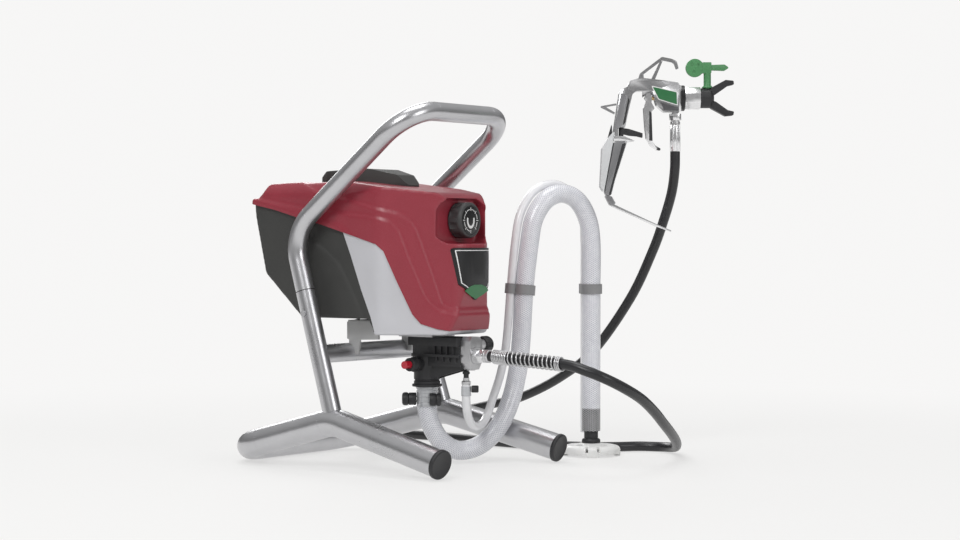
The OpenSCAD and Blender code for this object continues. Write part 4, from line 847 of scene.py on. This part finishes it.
def makePump():
    p = pump

    def onAxis(x, z):
        return x, p["axis"][1], z
    block = outlineBlock("pumpBlock", p["flange"], planSpot, p["flangeLow"], p["flangeTop"], 3)
    out, high, beadFrom, beadTo, beadOver = p["bossOut"], p["bossHeight"], *p["bead"]
    adds = [outlineBlock("arm", p["arm"], planSpot, p["armLow"], p["armTop"], 3),
            outlineBlock("ledge", p["ledge"], planSpot, p["ledgeLow"], p["ledgeTop"], 4),
            spunBlock("tower", p["tower"], p["axis"], (0, 0, 1), 64),
            rod("boss", onAxis(0, high), onAxis(out, high), p["boss"], edge=1.2),
            rod("bossBead", onAxis(out + beadFrom, high), onAxis(out + beadTo, high), p["boss"] + beadOver)]
    adds += [outlineBlock("web", p["web"], sideSpot, x, x + p["webThick"]) for x in p["webAt"]]
    half, slant, shoulder, top = p["ribHalf"], p["ribSlant"], p["ribShoulder"], p["ledgeLow"] + p["overlap"]
    upper = [(x, z) for z, way in ((p["ledgeTop"] - p["overlap"], -1), (p["flangeLow"] + p["overlap"], 1))
             for x in (way * half, -way * half)]
    for i in range(p["ribCount"]):
        y = p["ribFrom"] - p["ribPitch"] * i
        low = p["ribLow"] + (p["ribCount"] - i) * p["ribRise"]
        rib = [(-half, top, 0.5), (-half, shoulder, 1.2), (-half + slant, low, 0.5), (half - slant, low, 0.5),
               (half, shoulder, 1.2), (half, top, 0.5)]
        adds.append(outlineBlock("rib", rib, frontSpot, y, y - p["ribDepth"], 2))
        y += p["upperRibAhead"]
        adds.append(outlineBlock("upperRib", upper, frontSpot, y, y - p["ribDepth"]))
    cut(block, *adds, how="UNION")
    cut(block, *[rod("hole", onAxis(x0, z0), onAxis(x1, z1), radius) for x0, z0, x1, z1, radius in p["holes"]])
    soften(block, 0.5, 2, angle=35)
    finished(block, "root", capBlack, "pump_black", "pump_block", angle=35)


def makeInlet():
    i = inlet
    housingBlock = spunBlock("inletHousing", i["black"], pump["axis"], (0, 0, 1), 64)
    finished(housingBlock, "root", capBlack, "pump_black", "inlet_housing", angle=35)
    finished(spunBlock("barbRings", i["barb"], pump["axis"], (0, 0, 1), 64), "root", barbClear, "clear_hose", angle=30)
    across, toward, ears = Vector(i["earAcross"]), Vector(i["earToward"]), []
    for start, end, ahead, radius, edge in i["ears"]:
        centre = Vector(i["earCentre"]) + toward * ahead
        ears.append(rod("ear", centre + across * start, centre + across * end, radius, edge=edge, steps=40))
    n = nipple
    centre = Vector(n["tabCentre"])
    ears.append(rod("tab", centre + across * n["tabFrom"], centre + across * n["tabTo"], n["tab"], edge=1.2))
    finished(joined("hoseClamps", *ears), "root", capBlack, "black_cap", "hose_clamps", angle=35)
    for name, key, material, slotName, nodes in (("nippleStem", "black", capBlack, "nickel", ["return_nipple"]),
                                                 ("nippleRing", "ring", zincSteel, "nickel", []),
                                                 ("nippleBand", "band", barbClear, "clear_hose", [])):
        finished(spunBlock(name, n[key], n["at"], (0, 0, 1), 40), "root", material, slotName, *nodes)


def makeManifold():
    m = manifold
    x, y, z = m["outlet"]
    prime = Vector(m["prime"])

    def primeRod(name, start, end, radius):
        return rod(name, prime + Vector((start, 0, 0)), prime + Vector((end, 0, 0)), radius)
    block = outlineBlock("outletManifold", m["face"], frontSpot, m["back"], m["front"], 3)
    cut(block, primeRod("primeBoss", *m["primeBoss"]), rod("nippleBoss", *m["nippleBoss"]), how="UNION")
    cut(block, primeRod("primeHole", *m["primeHole"]))
    soften(block, 0.6, 3, angle=35)
    finished(block, "root", castMetal, "cast_metal", "outlet_manifold", angle=35)
    finished(spunBlock("outletCollar", m["collar"], m["outlet"], (0, -1, 0), 48), "root", castMetal, "cast_metal")
    behind, ahead, radius = m["spout"]
    finished(rod("outletSpout", (x, y + behind, z), (x, y + ahead, z), radius), "root", castMetal, "cast_metal")
    knob = spunBlock("primeKnob", m["knob"], prime + Vector((m["knobAt"], 0, 0)), (1, 0, 0), 60)
    for i in range(m["scallops"]):
        a = 2 * pi * i / m["scallops"]
        start, end = [prime + Vector((out, m["scallopOut"] * cos(a), m["scallopOut"] * sin(a)))
                      for out in (m["scallopFrom"], m["scallopTo"])]
        cut(knob, rod("scallop", start, end, m["scallop"], edge=1))
    cut(knob, primeRod("stem", *m["primeStem"]), how="UNION")
    soften(knob, 0.4, 2)
    finished(knob, "prime_knob", capBlack, "black_cap", "prime_knob", angle=35)

    reach = m["nut"] / cos(pi / 6)
    corners = [(reach * cos(pi * k / 3), z + reach * sin(pi * k / 3)) for k in range(6)]
    nut = outlineBlock("hoseNut", corners, frontSpot, y - m["nutFrom"], y - m["nutLength"])
    cut(nut, spunBlock("chamfer", m["nutEnds"], m["outlet"], (0, -1, 0), 60), how="INTERSECT")
    depth, radius = m["nutBore"]
    cut(nut, rod("nutBore", (x, y, z), (x, y - depth, z), radius))
    soften(nut, 0.25, 2)
    finished(nut, "root", chromePlate, "zinc_steel", "hose_nut")
    finished(spunBlock("hoseFerrule", m["ferrule"], m["outlet"], (0, -1, 0), 48), "root", zincSteel, "zinc_steel")


makePump()
makeInlet()
makeManifold()
print("pump and fittings built")


# spray gun
gunBody = dict(
    head=[(-60, 36, 2), (-55, 45, 3), (-42.8, 48.4, 3), (-22, 46, 2), (4, 42.4, 3), (4.4, 6.5, 2), (-15, 7, 4),
          (-23.5, 15, 3), (-29, 33, 2), (-50, 32, 4)],
    headHalf=10.5,
    handle=[(-49, 41, 1), (-66.4, 34.5, 2.5), (-68.8, 29.5, 3), (-76, -17.5, 3), (-77, -28, 1), (-60.6, -28, 1),
            (-61.6, -12.7, 3), (-58.6, 3, 3), (-55.5, 16.3, 3), (-52.6, 28.5, 3), (-46, 34, 2)],
    handleHalf=8.3,
    tab=[(-40, 36), (-40, 25), (-36, 21.4), (-31.5, 21.4), (-27, 26), (-27, 36)], tabHalf=3.5,
    hook=[(-45, 48.5, 1), (-43, 54.3, 1.5), (-16.6, 74.4, 3), (-4.5, 72, 3), (1.6, 69, 2.5), (3.9, 60.2, 1),
          (0.8, 58.7, 0.8), (-1.5, 65.2, 1), (-4.4, 67.4, 1.5), (-16.4, 70, 1), (-38.8, 53, 1), (-38.5, 48, 1)],
    strut=[(-19, 68.4), (-15.5, 69.4), (-25.6, 45), (-30, 46)], hookHalf=2.4, strutHalf=2.0,
    spur=[(-91, 12.6), (-90.6, 14.4), (-72, 17.8), (-71.6, 15.4), (-84.5, 13.2), (-73.6, 6.6), (-74.4, 4.2)],
    spurHalf=2.2, inlet=(0, -5.9, 0, 0, 9, 0, 4.0), lockSlot=[(-70, -23.4), (-50, -23.4), (-50, -11.8), (-70, -11.8)],
    holes=[(-66, -5.5, 0, -66, -30, 0, 3.06), (-34, 27, -6, -34, 27, 6, 2.56), (-40, 24, 0, 12, 24, 0, 5.02),
           (0, -8, 0, 0, 24, 0, 2.2)],
    sidePanel=[(-66.6, 30.2), (-59, 26.4), (-65.4, -10.6), (-74.6, -15.6)],
    darkStripe=[(-57.6, 24.6), (-56.2, 20.5), (-61.4, -6.5), (-64.6, -9.0)],
    topSlot=[(-20.5, 44.6), (-1.5, 42.2), (-1.5, 43.7), (-20.5, 46.4)], topSlotHalf=5, panelEdge=0.12, slotHalf=20,
    chinPanel=[(-19.2, 19.0), (2.9, 12.2), (2.9, 8.2), (-14.6, 9.0)],
    backWedge=[(-77.6, -8), (-77.0, -27), (-82.6, -27), (-81.8, -23)],
    badge=[(-30.3, 38.8, 0.8), (-21.4, 21.7, 0.8), (2.3, 14.4, 0.8), (1.5, 31.4, 0.8)],
    flange=[(3.6, 40), (6.3, 38.6), (6.3, 8.2), (3.6, 6.2)], flangeHalf=11.4, flangeBore=(0, 24, 0, 12, 24, 0, 5.02),
    triggerWay=[(-54, -34), (-40, -34), (-40, -15), (-54, -15)], triggerWayHalf=7.3,
    lockWay=[(-74.5, -22.4), (-60, -22.4), (-60, -10), (-74.5, -10)], pinWay=(-66, -15, 0, -66, -30, 0, 3.36),
    fingerSpur=[(-76.2, -17.2), (-68.2, -19.2), (-59.2, -24), (-49.5, -28.2), (-58, -29.4), (-60.6, -28.4),
                (-75.8, -28.4)], fingerSpurHalf=8.8,
)
gunFront = dict(
    ring=[(5.1, 6.0), (15.0, 6.0), (15.6, 6.6), (15.6, 10.6), (15.0, 11.2), (5.1, 11.2)], height=24,
    nut=14.2, nutFrom=11, nutTo=30, needleHole=(0, 24, 0, 40, 24, 0, 2.85),
    necks=[(29, 24, 0, 34, 24, 0, 6.9), (4, 24, 0, 12, 24, 0, 4.98)],
    guardBase=[(7.06, 30.5), (11.6, 30.5), (12.1, 31), (12.1, 42.6), (11.6, 43.2), (6.0, 46.8), (6.0, 35), (7.06, 35)],
    arm=[(40, 4, 1), (43, 12.4, 2), (60.7, 22, 3), (70.3, 21, 1.2), (71, 16.4, 1.2), (63.6, 14.8, 3), (49, 4.5, 3),
         (46, 3.4, 1)],
    armHalf=6.5, tipAt=39, stem=(39, 15.5, 0, 39, 56, 0, 4.5), tipBore=(29, 24, 0, 49, 24, 0, 1.5),
    guardHoles=[(39, 15, 0, 39, 60, 0, 4.56), (43, 24, 0, 80, 24, 0, 6)],
    flare=[(0, 36.4), (6.6, 36.4), (7.0, 37), (5.2, 39.2), (0, 40)],
    block=[(32.6, 54.3, 1), (43.7, 54.3, 1), (43.7, 67.6, 1), (32.6, 67.6, 1)],
    arrow=[(43, 57.9, 0.5), (59.6, 57.4, 1.2), (65.6, 61, 1.4), (59.6, 64.9, 1.2), (43, 64.4, 0.5)],
    disc=(23.7, 60.8, 4, 11.1), pits=[(-3.6, 4.2, 1.9), (3.8, 3.6, 1.6), (-1.2, -4.8, 1.7)], pitFrom=3.2, pitTo=5,
    blockHalf=4.5, arrowHalf=3.6,
)
gunTrigger = dict(
    outline=[(-35.4, 29.6, 1.5), (-38, 24, 1), (-35.4, 20.5, 0.8), (-39.1, 11.4, 1.5), (-37.6, -10.3, 2),
             (-35.8, -25.4, 2), (-30.2, -33.8, 2), (-23, -39, 1.5), (-18.7, -39.4, 0.8), (-18.7, -37.2, 0.8),
             (-25.2, -33.4, 2), (-28.2, -28.4, 2), (-29.4, 6.6, 2), (-25.6, 11.4, 1.5), (-29.4, 18.7, 1.5),
             (-28.8, 24, 1), (-30.6, 29.6, 1.5)],
    half=6.4, gap=[(-45, 13.5), (-20, 13.5), (-20, 40), (-45, 40)], gapHalf=3.9, padHalf=6.65,
    pads=dict(triggerPad=[(-32.2, 8.5), (-32.2, -28), (-28.0, -28), (-29.2, 6.2)],
              triggerToe=[(-23.4, -38.9), (-18.5, -39.6), (-18.5, -37.4), (-22, -35.4)]),
    lock=[(-65, -12.2, 1), (-69, -15, 1), (-66, -19.4, 1), (-56, -21.8, 1), (-47, -22.6, 1), (-39.9, -24.4, 0.8),
          (-39.9, -18.6, 0.8), (-56.7, -13.3, 2)],
    lockHalf=2.5, pivot=(-34, 27, -6, -34, 27, 6, 2.5), pin=(-66, -7.2, 0, -66, -28, 0, 3.0),
)
gunGrip = dict(
    backShell=[(-75.4, -17.8, 0.6), (-76.6, -17.8, 0.6), (-82.7, -24.8, 3), (-89.9, -37.4, 4), (-92.2, -84, 3),
               (-87.6, -91.4, 1), (-76.6, -31, 2)],
    frontShell=[(-75.4, -30, 2), (-86.6, -91, 1), (-84.6, -94.6, 1), (-79.4, -95.4, 2), (-62.6, -34, 3),
                (-61, -28.6, 1), (-72, -28.6, 1)],
    strip=[(-65.2, -32, 1), (-81.6, -94.6, 1), (-78.4, -93.5, 1), (-74.2, -75.4, 2), (-60.4, -30.6, 1)],
    # a thin bright strip along the grip's front edge: painted highlight
    highlightEdge=[(-61.4, -29.4, 0.6), (-75.4, -75.4, 2), (-79.2, -92.6, 1), (-77.6, -92.8, 0.5), (-73.2, -75.2, 2),
                (-58.9, -29.6, 0.6)],
    backHalf=12.4, frontHalf=9.6, stripHalf=10.0, edgeHalf=7.0, grooves=9, groove=1.1, grooveHalf=12, grooveStart=0.7,
    grooveTop=(-59.7, -31), grooveFoot=(-77.7, -93),
    ferrule=[(-86, -94.4, 1), (-80, -106.2, 1), (-76, -107, 1), (-73, -103.8, 1), (-77.6, -95.8, 1)],
    blade=[(-80, -104.4, 0.6), (-77.4, -107.8, 0.6), (-22.4, -132.4, 4), (-3.7, -139, 0.5), (-3.7, -137, 0.5),
           (-21.6, -129.4, 4), (-75, -104.4, 0.6)],
    bladeFrom=8.2, bladeTo=15.8, ferruleFrom=-8.4,
)
gunSleeve = dict(
    radius=6.3, groove=5.5, count=9, land=(0, 0.25, 0.5, 0.68), dip=(0.8, 0.88), low=373.2, high=405.2,
    collar=[(4.1, -8.4), (5.6, -8.4), (6.0, -8), (6.0, -4.6), (5.2, -4), (5.2, -3), (4.1, -3)],
    hex=6.5, hexTurn=0.2, hexLow=-3, hexHigh=5.2, bore=4.06, boreReach=8,
)


def gunBlock(name, corners, low, high=None, steps=4):
    # from low to high across the gun, or equally far to both sides
    low, high = (-low, low) if high is None else (low, high)
    return outlineBlock(name, corners, gunSpot, low, high, steps)


def gunPiece(name, corners, low, high, body, material, slotName, *nodes, edge=0.7, cuts=()):
    piece = gunBlock(name, corners, low, high)
    cut(piece, *cuts)
    soften(piece, edge, 3, angle=35)
    finished(piece, body, material, slotName, *nodes, angle=35)


def gunRod(u0, w0, v0, u1, w1, v1, radius, edge=0.0):
    return rod("gunRod", gunSpot(u0, w0, v0) / mm, gunSpot(u1, w1, v1) / mm, radius, edge)


def makeGunBody():
    g = gunBody
    body = gunBlock("gunBody", g["head"], g["headHalf"])
    adds = [gunBlock(key, g[key], g[key + "Half"]) for key in ("handle", "tab", "hook", "strut", "spur")]
    cut(body, *adds, gunRod(*g["inlet"]), how="UNION")
    cut(body, gunBlock("lockSlot", g["lockSlot"], g["slotHalf"]), *[gunRod(*hole) for hole in g["holes"]])
    soften(body, 0.9, 3, angle=40)
    finished(body, "spray_gun", gunCasting, "gun_metal", "gun_body", angle=38)
    head, handle = g["headHalf"], g["handleHalf"]
    for side in (-1, 1):
        for name, corners, half, depth, over, material in (
                ("gunBadgeRim", g["badge"][::-1], head, 0.5, 0.25, whitePaint),
                ("gunBadge", drawnIn(g["badge"], 1.0), head, 0.3, 0.5, leafGreen),
                ("chinPanel", g["chinPanel"], head, 0.5, 0.15, darkCasting),
                ("sidePanel", g["sidePanel"], handle, 0.5, 0.25, greyCasting),
                ("darkStripe", g["darkStripe"], handle, 0.5, 0.15, jointAndShadeBlack),
                # the back wedge is a dark piece set in the gap behind the handle: painted shade
                ("backWedge", g["backWedge"], handle, 3, -1.5, jointAndShadeBlack)):
            low, high = sorted((side * (half - depth), side * (half + over)))
            gunPiece(name, corners, low, high, "spray_gun", material, "gun_metal", edge=g["panelEdge"])
    # the top slot is a dark strip laid on the head where the slot's shade falls: painted shade
    half = g["topSlotHalf"]
    gunPiece("topSlot", g["topSlot"], -half, half, "spray_gun", jointAndShadeBlack, "gun_metal", edge=0.15)
    half = g["flangeHalf"]
    gunPiece("gunFlange", g["flange"], -half, half, "spray_gun", chromePlate, "gun_metal", edge=0.5,
             cuts=[gunRod(*g["flangeBore"])])
    half = g["fingerSpurHalf"]
    gunPiece("fingerSpur", g["fingerSpur"], -half, half, "spray_gun", chromePlate, "gun_metal", edge=0.5,
             cuts=[gunRod(*g["pinWay"]), gunBlock("lockWay", g["lockWay"], g["slotHalf"]),
                   gunBlock("triggerWay", g["triggerWay"], g["triggerWayHalf"])])


def makeGunFront():
    g = gunFront
    axis, height = gunAhead, g["height"]
    home = gunSpot(0, height, 0) / mm
    finished(spunBlock("gunRing", g["ring"], home, axis, 60), "spray_gun", glossBlack, "nickel")

    def facing(v, w, u):
        return gunSpot(u, w, v)
    turns = [pi * (k + 0.5) / 4 for k in range(8)]
    corners = [(g["nut"] * cos(a), height + g["nut"] * sin(a)) for a in turns]
    nut = outlineBlock("gunNozzle", corners, facing, g["nutFrom"], g["nutTo"])
    cut(nut, *[gunRod(*neck) for neck in g["necks"]], how="UNION")
    cut(nut, gunRod(*g["needleHole"]))
    soften(nut, 1.3, 3, angle=35)
    finished(nut, "spray_gun", chromePlate, "nickel", "gun_nozzle", angle=38)

    guard = spunBlock("tipGuard", g["guardBase"], home, axis, 60)
    arms = [[(u, height + side * w, r) for u, w, r in g["arm"]][::side] for side in (-1, 1)]
    cut(guard, *[gunBlock("arm", arm, g["armHalf"]) for arm in arms], how="UNION")
    cut(guard, *[gunRod(*hole) for hole in g["guardHoles"]])
    soften(guard, 0.6, 3, angle=40)
    finished(guard, "tip_guard", capBlack, "guard_black", "tip_guard", angle=38)

    stem = gunRod(*g["stem"], edge=0.4)
    u, w, half, radius = g["disc"]
    disc = gunRod(u, w, -half, u, w, half, radius, edge=0.8)
    cut(disc, *[gunRod(u + du, w + dw, side * g["pitFrom"], u + du, w + dw, side * g["pitTo"], r)
                for side in (-1, 1) for du, dw, r in g["pits"]])
    cut(stem, disc, *[gunBlock(key, g[key], g[key + "Half"], steps=3) for key in ("block", "arrow")],
        spunBlock("flare", g["flare"], gunSpot(g["tipAt"], 0, 0) / mm, (0, 0, 1), 48), how="UNION")
    cut(stem, gunRod(*g["tipBore"]))
    soften(stem, 0.4, 2, angle=40)
    finished(stem, "spray_tip", tipGreen, "tip_green", "spray_tip", angle=38)


def makeTrigger():
    t = gunTrigger
    lever = gunBlock("trigger", t["outline"], t["half"])
    cut(lever, gunBlock("gap", t["gap"], t["gapHalf"]))
    cut(lever, gunRod(*t["pivot"]), how="UNION")
    soften(lever, 0.7, 3, angle=38)
    finished(lever, "trigger", chromePlate, "nickel", "trigger", angle=38)
    for name, corners in t["pads"].items():
        gunPiece(name, corners, -t["padHalf"], t["padHalf"], "trigger", capBlack, "nickel", edge=0.3)
    lock = gunBlock("triggerLock", t["lock"], t["lockHalf"], steps=3)
    cut(lock, gunRod(*t["pin"]), how="UNION")
    soften(lock, 0.5, 2, angle=38)
    finished(lock, "trigger_lock", capBlack, "guard_black", "trigger_lock", angle=38)


def makeGrip():
    g = gunGrip
    top, foot = Vector(g["grooveTop"]), Vector(g["grooveFoot"])
    spots = [top + (foot - top) * (i + g["grooveStart"]) / g["grooves"] for i in range(g["grooves"])]
    half = g["grooveHalf"]
    grooves = [gunRod(at.x, at.y, -half, at.x, at.y, half, g["groove"]) for at in spots]
    for name, key, low, high, material, slotName, nodes, edge, cuts in (
            ("gunGrip", "backShell", -g["backHalf"], g["backHalf"], gripGrey, "grip_grey", ["gun_grip"], 2.2, []),
            ("gripFront", "frontShell", -g["frontHalf"], g["frontHalf"], greyCasting, "grip_grey", [], 1.6, []),
            ("gripStrip", "strip", -g["stripHalf"], g["stripHalf"], capBlack, "grip_grey", [], 0.5, grooves),
            # the chrome edge strip stands in for the highlight along the grip's front edge: painted highlight
            ("gripHighlightStrip", "highlightEdge", -g["edgeHalf"], g["edgeHalf"], chromePlate, "grip_grey", [], 0.4, []),
            ("fingerGuard", "blade", g["bladeFrom"], g["bladeTo"], chromePlate, "nickel", ["finger_guard"], 0.5, []),
            ("gripFerrule", "ferrule", g["ferruleFrom"], g["bladeTo"], greyCasting, "nickel", [], 0.7, [])):
        gunPiece(name, g[key], low, high, "spray_gun", material, slotName, *nodes, edge=edge, cuts=cuts)


def makeSleeve():
    g = gunSleeve
    x, y, z = gunHome
    ridges = [(share, g["radius"]) for share in g["land"]] + [(share, g["groove"]) for share in g["dip"]]
    outline = []
    for k in range(g["count"]):
        for share, radius in ridges:
            a = 2 * pi * (k + share) / g["count"]
            outline.append((x + radius * cos(a), y + radius * sin(a)))
    sleeve = outlineBlock("hoseSleeve", outline, planSpot, g["low"], g["high"])
    reach = g["hex"] / cos(pi / 6)
    turns = [pi * (k + g["hexTurn"]) / 3 for k in range(6)]
    hexagon = [(x + reach * cos(a), y + reach * sin(a)) for a in turns]
    nut = outlineBlock("sleeveNut", hexagon, planSpot, z + g["hexLow"], z + g["hexHigh"])
    collar = spunBlock("sleeveCollar", g["collar"], gunHome, (0, 0, 1), 40)
    cut(nut, rod("bore", (x, y, z - g["boreReach"]), (x, y, z + g["boreReach"]), g["bore"]))
    soften(sleeve, 0.3, 2)
    soften(nut, 0.5, 2)
    finished(joined("hoseSleeve", sleeve, nut, collar), "root", chromePlate, "zinc_steel", "hose_sleeve", angle=30)


makeGunBody()
makeGunFront()
makeTrigger()
makeGrip()
makeSleeve()
print("gun built")


# strainer
strainer = dict(
    at=(212, -147, 0),
    disc=[(29, 0), (36, 0), (36, 7.4), (35.2, 9.8), (33, 11.6), (28, 12.8), (17, 13.6), (13.4, 14.8), (12.2, 15),
          (8.3, 15), (8.3, 6), (12.2, 6), (13, 8.6), (26, 9.2), (29, 8.4)],
    legs=4, legTurn=35.8, gapTurn=33, gapTop=2.6, rimIn=27, rimOut=40, notch=(9, 15), notchLow=5.5, holeAt=21, hole=4.6,
    above=20, below=-2,
    neck=[(5, 0), (7.9, 0), (7.9, 15.1), (11, 15.3), (11.4, 16), (11.4, 18.6), (10.4, 20.2), (8.6, 20.8), (8.6, 29.6),
          (5, 29.6)],
)


def makeStrainer():
    c = strainer
    home = Vector(c["at"])
    foot = spunBlock("strainerFoot", c["disc"], home, (0, 0, 1), 96)
    for i in range(c["legs"]):
        leg = c["legTurn"] + 360 * i / c["legs"]
        gap = leg + 180 / c["legs"]
        cuts = [(gap - c["gapTurn"], gap + c["gapTurn"], c["below"], c["gapTop"])]
        cuts += [(leg + side * c["notch"][0], leg + side * c["notch"][1], c["notchLow"], c["above"])
                 for side in (-1, 1)]
        for start, end, low, high in cuts:
            sector = ringSector(c["rimIn"], c["rimOut"], min(start, end), max(start, end))
            outline = [(home.x + x, home.y + y) for x, y in sector]
            cut(foot, outlineBlock("slot", outline, planSpot, low, high))
        b = radians(gap)
        hole = home + Vector((cos(b), sin(b), 0)) * c["holeAt"]
        cut(foot, rod("hole", hole, hole + Vector((0, 0, c["above"])), c["hole"]))
    soften(foot, 0.5, 2, angle=35)
    finished(foot, "root", footWhite, "white_foot", "strainer_foot", angle=35)
    neck = spunBlock("strainerNeck", c["neck"], home, (0, 0, 1), 48)
    finished(neck, "root", capBlack, "black_cap", "strainer_neck")


makeStrainer()
print("strainer built")


makeHoses()
print("hoses laid")
